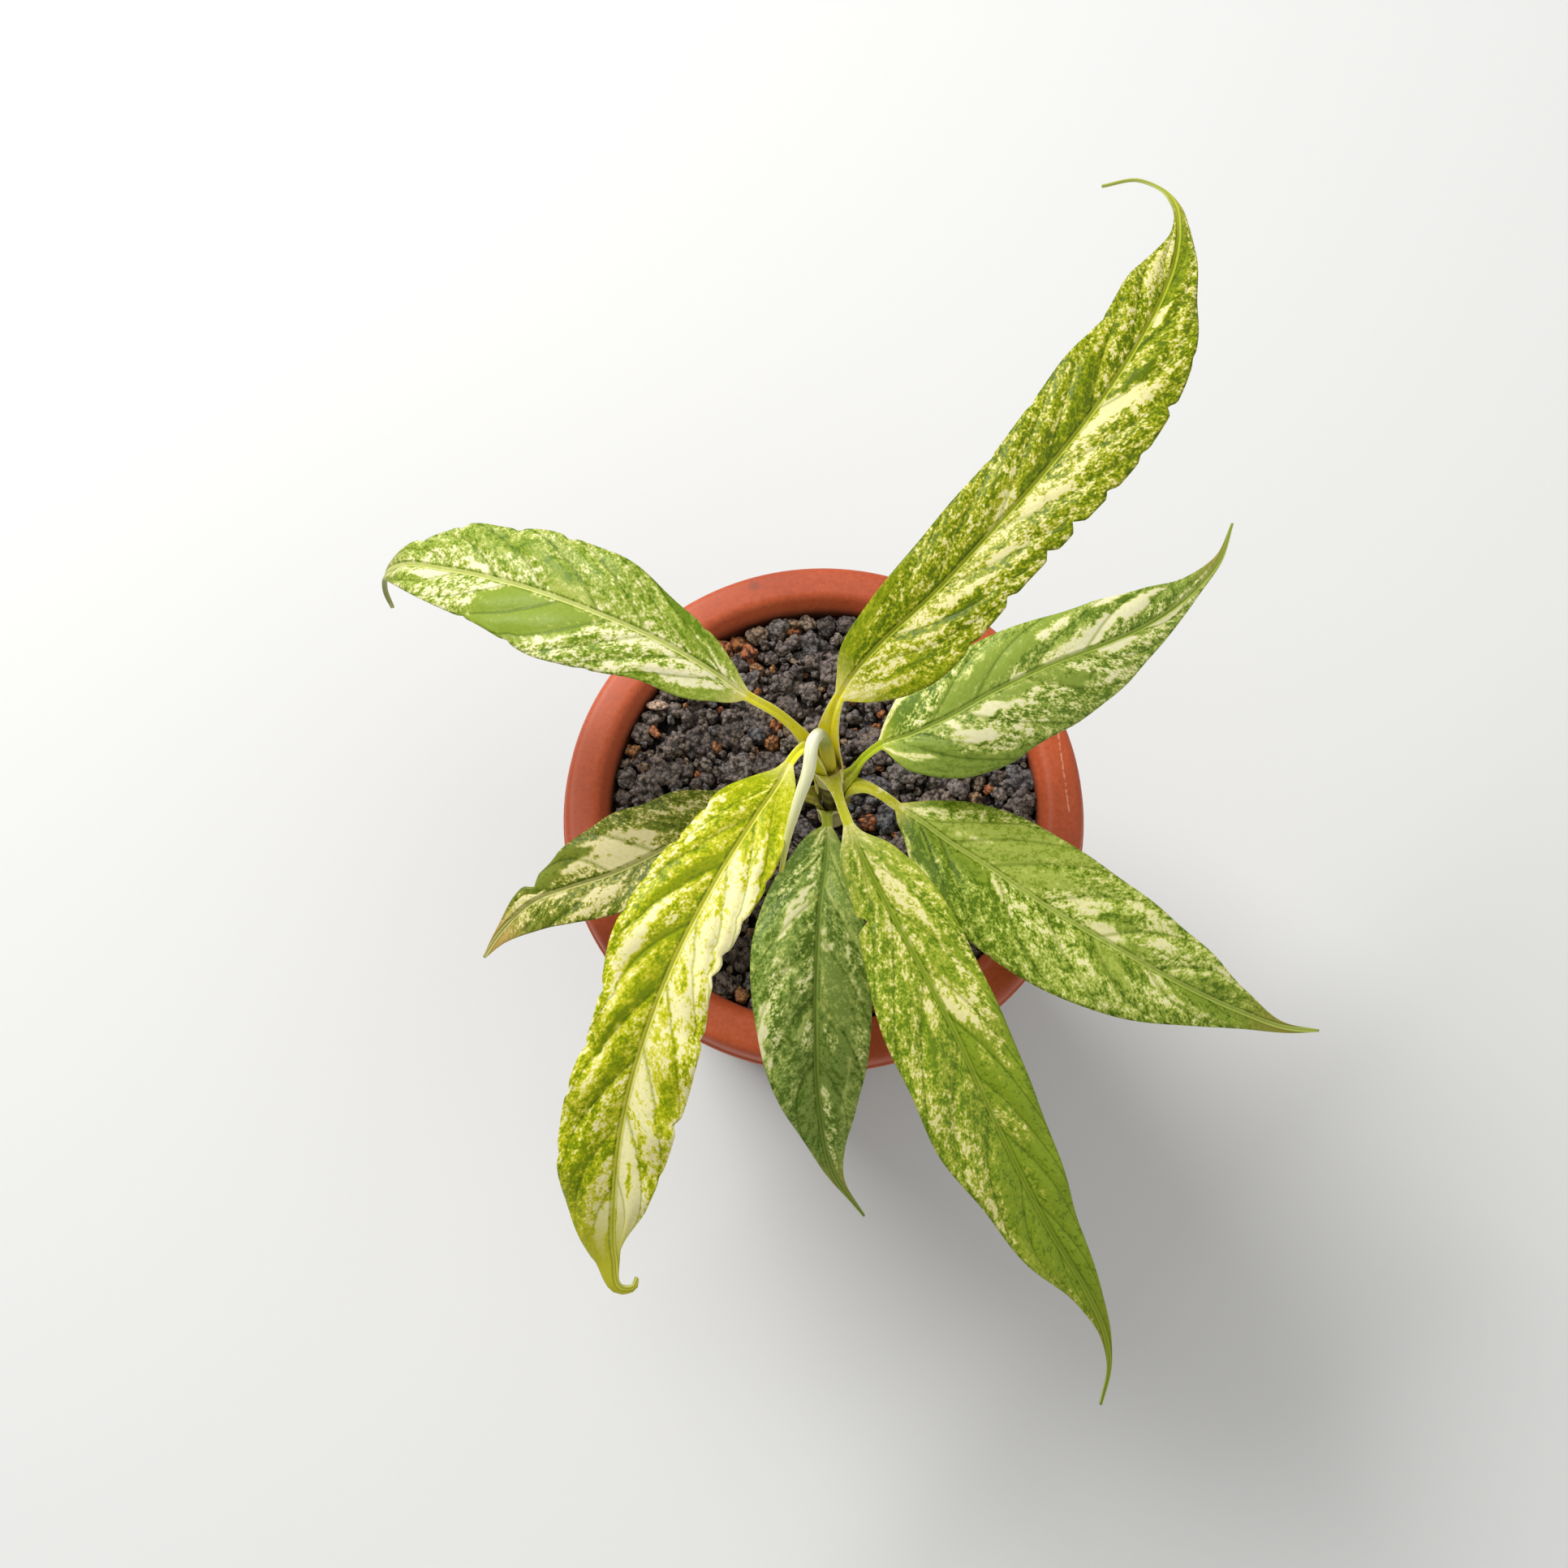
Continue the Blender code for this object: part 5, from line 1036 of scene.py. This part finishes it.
def leaf_rings(leaf):
    """Closed outlines of the leaf, and the place on the leaf of each of their points."""
    line, run, petiole_length = centre_line(leaf)
    blade_length = run[-1] - petiole_length
    lateral, normal = leaf_frames(line, run, petiole_length)
    rows = np.linspace(0.0, run[-1], math.ceil(run[-1] / ROW_PITCH))
    sheath_length = leaf["sheath"][2] - leaf["sheath"][1]
    widths = [half_widths(leaf, side, rows, petiole_length, blade_length)
              for side in ("left", "right")]
    rings, places = [], []
    for number, row in enumerate(rows):
        here, side, up = (np.array([np.interp(row, run, values[:, k]) for k in range(3)])
                          for values in (line, lateral, normal))
        part = (row - petiole_length) / blade_length
        opened = SHEATH_CLASPS * sheath_length
        wings_end = leaf["stalk"][1] * petiole_length
        clasping = float(np.clip((wings_end - row) / (wings_end - opened), 0, 1))
        top_x, top_y, low_x, low_y, u = section(
            leaf, (widths[0][number], widths[1][number]), part, clasping, row, petiole_length)
        top = here + np.outer(top_x, side) + np.outer(top_y, up)
        low = here + np.outer(low_x, side) + np.outer(low_y, up)
        rings.append(np.vstack([top, low[::-1]]))
        sign = np.sign(np.arange(len(u))[::-1] - len(u) // 2)
        across = sign * u * np.where(sign > 0, widths[0][number], widths[1][number])
        veinward = part - (vein_run(u) if part > 0 else 0 * u)
        place = np.stack([across, veinward * blade_length, np.zeros(len(u)), u,
                          np.full(len(u), part)], axis=1)
        underside = place[::-1] + (0, 0, 1, 0, 0)
        places.append(np.vstack([place, underside]))
    return rings, places, blade_length


def closed_loft(rings, values, layers):
    """Skin over closed outlines; each end is drawn together on its middle line."""
    points = len(rings[0])
    columns = points + 1
    first = 0.5 * (rings[0] + rings[0][::-1])
    tip = np.repeat([rings[-1].mean(axis=0) * 1.2 - rings[-2].mean(axis=0) * 0.2],
                    points, axis=0)
    rows = [first] + rings + [tip]
    values = [values[0]] + values + [values[-1]]
    bm = bmesh.new()
    made = [bm.verts.layers.float_vector.new(name) for name in layers]
    bmesh.ops.create_grid(bm, x_segments=points, y_segments=len(rows) - 1, size=1.0)
    bm.verts.ensure_lookup_table()
    for number, ring in enumerate(rows):
        for column in range(columns):
            vert = bm.verts[number * columns + column]
            vert.co = Vector(ring[column % points])
            for layer, triple in zip(made, values[number][column % points]):
                vert[layer] = Vector(triple)
    bmesh.ops.remove_doubles(bm, verts=bm.verts, dist=0.001)
    bmesh.ops.recalc_face_normals(bm, faces=bm.faces)
    return bm


def wander(x, y, size, seed):
    """Smooth noise between -1 and 1 at places on a leaf, for lobes of a size in mm."""
    return np.array([noise.noise((a / size, b / size, seed)) for a, b in zip(x, y)])


def tones(marks, place, blade_length, seed):
    """Tone and speckle of a blade at each place, from its ground and its patches."""
    across, run = place[:, 0], place[:, 1]
    reach = place[:, 4] * blade_length
    fray, drift = (wander(across, reach, 4.5, seed + far) + wander(across, reach, 1.8, seed - far)
                   for far in (2.0, 33.0))
    start = run / blade_length + fray * PATCH_FRAY / blade_length
    out = np.abs(place[:, 3]) + drift * PATCH_DRIFT
    tone, speckle = np.zeros(len(out)), np.zeros(len(out))
    for side, half in (("left", across >= 0), ("right", across < 0)):
        ground, patches = marks[side]
        tone[half], speckle[half] = ground
        for low, high, inner, outer, patch_tone, patch_speckle in patches:
            inside = half * np.minimum(np.clip((start - low) * blade_length + 0.5, 0, 1),
                                       np.clip((high - start) * blade_length + 0.5, 0, 1))
            inside *= np.clip((out - inner) / PATCH_EDGE + 0.5, 0, 1)
            inside *= np.clip((outer - out) / PATCH_EDGE + (1.5 if outer == 1 else 0.5), 0, 1)
            tone += (patch_tone - tone) * inside
            speckle += (patch_speckle - speckle) * inside
    # On the stalk the tone runs from -1, brown, through 0, yellow-green, to 1, cream
    stalk = place[:, 4] < 0
    sheath_tone, petiole_tone = marks["stalk"]
    along = np.clip(1 - place[:, 4] / place[:, 4].min(), 0, 1)
    stalk_tone = sheath_tone + (petiole_tone - sheath_tone) * along
    stalk_tone += WING_EDGE_TONE * np.clip((np.abs(place[:, 3]) - 0.84) / 0.1, 0, 1)
    return np.where(stalk, stalk_tone + 0.15 * fray, tone), speckle


def vein_lines(tree, run, starts, blade_length):
    """1 along the side veins of one half and 0 away from them, run given in mm."""
    place = add(tree, "MapRange", {"Value": run, "From Min": -0.2 * blade_length,
                                   "From Max": blade_length})
    stops = [(0.0, "#000000")]
    for start in starts:
        centre, half = (start + 0.2) / 1.2, VEIN_LINE / blade_length / 1.2
        stops += [(centre - half, "#000000"), (centre, "#ffffff"), (centre + half, "#000000")]
    return add(tree, "ValToRGB", {"Fac": place}, stops=stops)


def leaf_skin(name, colours, blade_length, slant):
    """Leaf blade with a waxy cuticle: soft gloss over marbled green and cream tissue.

    The attribute "place" holds millimetres across from the rib, millimetres that the vein
    through a point starts along the rib, and 1 on the underside. "tissue" holds the tone,
    the speckle and the part of the blade's length. Slant is the angle between side veins
    and rib, along which the speckles are drawn out.
    """
    dark, green, mid, pale, cream, tip, rib, petiole = colours
    made, tree, shader = new_material(name + "_cuticle")
    place = add(tree, "Attribute", out="Vector", attribute_name="place")
    tissue = add(tree, "Attribute", out="Vector", attribute_name="tissue")
    across, run, under = add(tree, "SeparateXYZ", {0: place}, out=slice(3))
    tone, speckle, part = add(tree, "SeparateXYZ", {0: tissue}, out=slice(3))
    away = add(tree, "Math", {0: across}, operation="ABSOLUTE")
    is_left = add(tree, "Math", {0: across, 1: 0.0}, operation="GREATER_THAN")
    # Millimetres over the flat half blade, turned so that X runs along its side veins
    other = add(tree, "Math", {0: is_left, 1: 3 * blade_length}, operation="MULTIPLY")
    reach = add(tree, "Math", {0: part, 1: blade_length, 2: other}, operation="MULTIPLY_ADD")
    flat = add(tree, "CombineXYZ", {0: away, 1: reach})
    turned = add(tree, "Mapping", {"Vector": flat, "Rotation": (0, 0, slant - math.pi / 2)})
    grain = 0.0
    for along, wide, share in SPECKS:
        drawn = add(tree, "Mapping", {"Vector": turned, "Scale": (1 / along, 1 / wide, 0.0)})
        spots = add(tree, "TexNoise", {"Vector": drawn, "Scale": 1.0, "Detail": 1.0},
                    noise_dimensions="2D")
        centred = add(tree, "Math", {0: spots, 1: -0.5}, operation="ADD")
        grain = add(tree, "Math", {0: centred, 1: share, 2: grain}, operation="MULTIPLY_ADD")
    mixed = add(tree, "Math", {0: grain, 1: speckle, 2: tone}, operation="MULTIPLY_ADD")
    colour = add(tree, "ValToRGB", {"Fac": mixed},
                 stops=[(0.1, dark), (0.2, dark), (0.29, green), (0.4, green), (0.46, mid),
                        (0.56, mid), (0.62, pale), (0.70, pale), (0.77, cream),
                        (1.0, cream)])
    # Fine mesh of the smallest veins
    cells = add(tree, "Mapping", {"Vector": turned, "Scale": (0.8, 1.25, 0.0)})
    cell = add(tree, "TexVoronoi", {"Vector": cells, "Scale": 1.0}, voronoi_dimensions="2D")
    veins = add(tree, "Mix", {"Factor": is_left,
                              6: vein_lines(tree, run, VEIN_STARTS[name][1], blade_length),
                              7: vein_lines(tree, run, VEIN_STARTS[name][0], blade_length)},
                out=2, data_type="RGBA")
    # What rises or falls, where it starts and ends, and its value at the start and the end
    # The narrowest mask round the rib's centre darkens its channel with painted shade
    rises = [(cell, 0.35, 0.8, 0, 0.14), (part, 0.03, 0.1, 0, VEIN_DEPTH),
             (part, 0.95, 0.8, 0, 1), (part, 0.78, 0.93, 0, 1), (away, 0.45, 0.7, 0, 0.5),
             (away, 1.1, 0.8, 0, 1), (away, 0.65, 0.45, 0, 0.85), (away, 0.22, 0.05, 0, 0.55),
             (part, 0.06, -0.01, 0, 1), (part, -0.02, 0.1, 0, 0.6), (grain, -0.5, 0.5, 0.36, 0.5)]
    meshed, past_base, before_tip, at_tip, rib_side, near_rib, on_rib, rib_channel_shade, on_stalk, \
        on_back, rough = [
            add(tree, "MapRange", {"Value": value, "From Min": low, "From Max": high,
                                   "To Min": start, "To Max": end},
                interpolation_type="SMOOTHSTEP") for value, low, high, start, end in rises]
    on_blade = add(tree, "Math", {0: past_base, 1: before_tip}, operation="MULTIPLY")
    # Painted shade along the side veins' grooves; the same mask sinks them in the bump
    vein_groove_and_shade = add(tree, "Math", {0: veins, 1: on_blade}, operation="MULTIPLY")
    shoulder = add(tree, "Math", {0: rib_side, 1: near_rib}, operation="MULTIPLY")
    stalk_place = add(tree, "MapRange", {"Value": mixed, "From Min": -1.0})
    stalk = add(tree, "ValToRGB", {"Fac": stalk_place},
                stops=[(0.15, SHEATH_HEX), (0.42, petiole), (0.58, petiole),
                       (0.85, WING_HEX)])
    below = add(tree, "Math", {0: under, 1: on_back}, operation="MULTIPLY")
    # Layers over the tissue: how much of each shows, its colour, and how it mixes
    for amount, layer, kind in (
            (meshed, linear("#b9c070"), "MULTIPLY"), (vein_groove_and_shade, linear("#a3b35c"), "MULTIPLY"),
            (at_tip, linear(tip), "MIX"), (shoulder, linear("#a3b35c"), "MULTIPLY"),
            (on_rib, linear(rib), "MIX"), (rib_channel_shade, linear("#aab45a"), "MULTIPLY"),
            (on_stalk, stalk, "MIX"), (below, linear(UNDERSIDE_HEX), "MIX")):
        colour = add(tree, "Mix", {"Factor": amount, 6: colour, 7: layer}, out=2,
                     data_type="RGBA", blend_type=kind)
    tree.links.new(colour, shader.inputs["Base Color"])
    tree.links.new(rough, shader.inputs["Roughness"])
    shader.inputs["IOR"].default_value = 1.42
    shader.inputs["Specular IOR Level"].default_value = 0.22
    sunk = add(tree, "Math", {0: vein_groove_and_shade, 1: -1.0}, operation="MULTIPLY")
    relief = add(tree, "Math", {0: cell, 1: -0.35, 2: sunk}, operation="MULTIPLY_ADD")
    bump = add(tree, "Bump", {"Strength": 0.35, "Distance": 0.25 * MM, "Height": relief})
    tree.links.new(bump, shader.inputs["Normal"])
    return made


class MakeLeaves(bpy.types.Operator):
    """Build the eight open leaves, each with its petiole and sheath"""
    bl_idname = "aglaonema.leaves"
    bl_label = "Leaves"

    def execute(self, context):
        for number, (name, leaf) in enumerate(LEAVES.items()):
            leaf["vein_starts"] = VEIN_STARTS[name]
            rings, places, blade_length = leaf_rings(leaf)
            every = np.vstack(places)
            tone, speckle = tones(MARKS[name], every, blade_length, 10.0 * number)
            tissue = np.stack([tone, speckle, every[:, 4]], axis=1)
            triples = list(zip(every[:, :3], tissue))
            size = len(places[0])
            values = [triples[i:i + size] for i in range(0, len(triples), size)]
            bm = closed_loft(rings, values, ("place", "tissue"))
            widest = max(leaf["left"] + leaf["right"])
            slant = math.atan2(widest, vein_run(1.0) * blade_length)
            skin = leaf_skin(name, COLOURS[name], blade_length, slant)
            finished(name + "_blade", bm, skin, name)
        return {"FINISHED"}


def rolled_skin(length):
    """Youngest leaf: yellow to olive on its upright base, then its whitish underside.

    "place" holds millimetres round the roll and along it, and the part of a turn from the
    edge of the outer turn, beside which a strip of yellow-green upper side shows.
    """
    made, tree, shader = new_material("rolled_leaf_skin")
    place = add(tree, "Attribute", out="Vector", attribute_name="place")
    run, turned = add(tree, "SeparateXYZ", {0: place}, out=slice(1, 3))
    part = add(tree, "Math", {0: run, 1: 1 / length}, operation="MULTIPLY")
    colour = add(tree, "ValToRGB", {"Fac": part},
                 stops=[(0.0, "#d8c62c"), (0.2, "#d0c02a"), (0.34, "#9a9e34"),
                        (0.46, "#b4b878"), (0.53, "#f2efd6"), (0.75, "#ecebb8"),
                        (0.9, "#dedd8a"), (1.0, "#d6cf3a")])
    fine = add(tree, "Mapping", {"Vector": place, "Scale": (2.5, 0.12, 0.0)})
    grain = add(tree, "TexNoise", {"Vector": fine, "Scale": 1.0, "Detail": 3.0},
                noise_dimensions="2D")
    streaks = add(tree, "MapRange", {"Value": grain, "From Min": 0.6, "From Max": 0.35,
                                     "To Max": 0.4})
    beside = add(tree, "MapRange", {"Value": turned, "From Min": 0.2, "From Max": 0.14})
    low = add(tree, "MapRange", {"Value": part, "From Min": 0.66, "From Max": 0.76})
    strip = add(tree, "Math", {0: beside, 1: low}, operation="MULTIPLY")
    for amount, code in ((streaks, "#c3c878"), (strip, "#b7bc34")):
        colour = add(tree, "Mix", {"Factor": amount, 6: colour, 7: linear(code)}, out=2,
                     data_type="RGBA")
    tree.links.new(colour, shader.inputs["Base Color"])
    shader.inputs["Roughness"].default_value = 0.5
    shader.inputs["Specular IOR Level"].default_value = 0.3
    return made


class MakeRolledLeaf(bpy.types.Operator):
    """Build the youngest leaf, still rolled, with the edge of its outer turn"""
    bl_idname = "aglaonema.rolled_leaf"
    bl_label = "Rolled leaf"

    def execute(self, context):
        knots = lengths(np.array(ROLLED_RIB))
        at = np.linspace(0.0, knots[-1], ROLLED_ROWS)
        line = smooth(knots, ROLLED_RIB, at)
        radii = smooth(knots, ROLLED_RADII, at)[:, 0]
        lateral, normal = frames(line, ROLLED_ROWS // 2)
        share = (np.arange(ROLLED_SIDES) + 0.5) / ROLLED_SIDES
        angles = math.pi - math.tau * share
        rings, values = [], []
        for row in range(ROLLED_ROWS):
            turned = (share + 0.35 + 0.25 * row / ROLLED_ROWS) % 1.0
            reach = radii[row] * (1 + ROLLED_STEP * (turned - 1))
            rings.append(line[row] + np.outer(reach * np.cos(angles), lateral[row])
                         + np.outer(reach * np.sin(angles), normal[row]))
            values.append([((math.tau * radii[row] * t, at[row], t),) for t in turned])
        bm = closed_loft(rings, values, ("place",))
        finished("rolled_leaf_spear", bm, rolled_skin(knots[-1]), "rolled_leaf")
        return {"FINISHED"}


class StageSettings(bpy.types.PropertyGroup):
    """Camera, lights and floor."""
    lens: bpy.props.FloatProperty(
        name="Lens", description="Focal length for a 36 mm sensor", default=64.4)
    tilt: bpy.props.FloatProperty(
        name="Tilt", description="Camera's tilt from looking straight down",
        default=math.radians(17.0), subtype="ANGLE")
    key_power: bpy.props.FloatProperty(
        name="Key light", description="Power of the soft light at the upper left, in watts",
        default=17.5)
    fill_power: bpy.props.FloatProperty(
        name="Fill light", description="Power of the soft light at the right, in watts",
        default=3.0)
    sky: bpy.props.FloatProperty(
        name="Sky", description="Strength of the even light from all round", default=0.4)


CAMERA_PLACE = (-0.00998, -0.19899, 0.78615)
KEY_PLACE = (-0.6, 0.7, 1.0)
FILL_PLACE = (0.8, -0.3, 0.9)
FLOOR_SIZE = 8.0


class MakeStage(bpy.types.Operator):
    """Add the camera, the soft lights and the plain floor"""
    bl_idname = "aglaonema.stage"
    bl_label = "Stage"

    def execute(self, context):
        settings = context.scene.aglaonema_stage
        scene = context.scene
        camera = bpy.data.cameras.new("camera")
        camera.lens = settings.lens
        camera.clip_start = 0.01
        viewer = bpy.data.objects.new("camera", camera)
        viewer.location = CAMERA_PLACE
        viewer.rotation_euler = (settings.tilt, 0.0, 0.0)
        scene.collection.objects.link(viewer)
        scene.camera = viewer
        for name, place, power, size in (("key", KEY_PLACE, settings.key_power, 0.7),
                                         ("fill", FILL_PLACE, settings.fill_power, 1.2)):
            light = bpy.data.lights.new(name, "AREA")
            light.energy = power
            light.size = size
            lamp = bpy.data.objects.new(name, light)
            lamp.location = place
            aim = Vector((0.0, 0.0, 0.12)) - Vector(place)
            lamp.rotation_euler = aim.to_track_quat("-Z", "Y").to_euler()
            scene.collection.objects.link(lamp)
        sky = bpy.data.worlds.new("sky")
        sky.use_nodes = True
        sky.node_tree.nodes["Background"].inputs["Color"].default_value = (1, 1, 1, 1)
        sky.node_tree.nodes["Background"].inputs["Strength"].default_value = settings.sky
        scene.world = sky
        scene.view_settings.view_transform = "Standard"
        floor = bmesh.new()
        bmesh.ops.create_grid(floor, x_segments=1, y_segments=1, size=FLOOR_SIZE / 2)
        mesh = bpy.data.meshes.new("floor")
        floor.to_mesh(mesh)
        floor.free()
        card, tree, shader = new_material("matt_white_card")
        shader.inputs["Base Color"].default_value = linear("#e2e2e0")
        shader.inputs["Roughness"].default_value = 0.9
        mesh.materials.append(card)
        ground = bpy.data.objects.new("floor", mesh)
        scene.collection.objects.link(ground)
        return {"FINISHED"}


MAKERS = (MakePot, MakeGravel, MakeStem, MakeLeaves, MakeRolledLeaf, MakeStage)


class AglaonemaPanel(bpy.types.Panel):
    """Sidebar panel with the settings and the makers"""
    bl_idname = "VIEW3D_PT_aglaonema"
    bl_label = "Potted aglaonema"
    bl_space_type = "VIEW_3D"
    bl_region_type = "UI"
    bl_category = "Aglaonema"

    def draw(self, context):
        for group in (context.scene.aglaonema_pot, context.scene.aglaonema_stage):
            for name in group.__annotations__:
                self.layout.prop(group, name)
        for maker in MAKERS:
            self.layout.operator(maker.bl_idname)


CLASSES = (PotSettings, StageSettings) + MAKERS + (AglaonemaPanel,)


def register():
    for each in CLASSES:
        bpy.utils.register_class(each)
    bpy.types.Scene.aglaonema_pot = bpy.props.PointerProperty(type=PotSettings)
    bpy.types.Scene.aglaonema_stage = bpy.props.PointerProperty(type=StageSettings)


def unregister():
    del bpy.types.Scene.aglaonema_pot
    del bpy.types.Scene.aglaonema_stage
    for each in reversed(CLASSES):
        bpy.utils.unregister_class(each)


def main():
    register()
    for maker in MAKERS:
        group, name = maker.bl_idname.split(".")
        getattr(getattr(bpy.ops, group), name)()


if __name__ == "__main__":
    main()
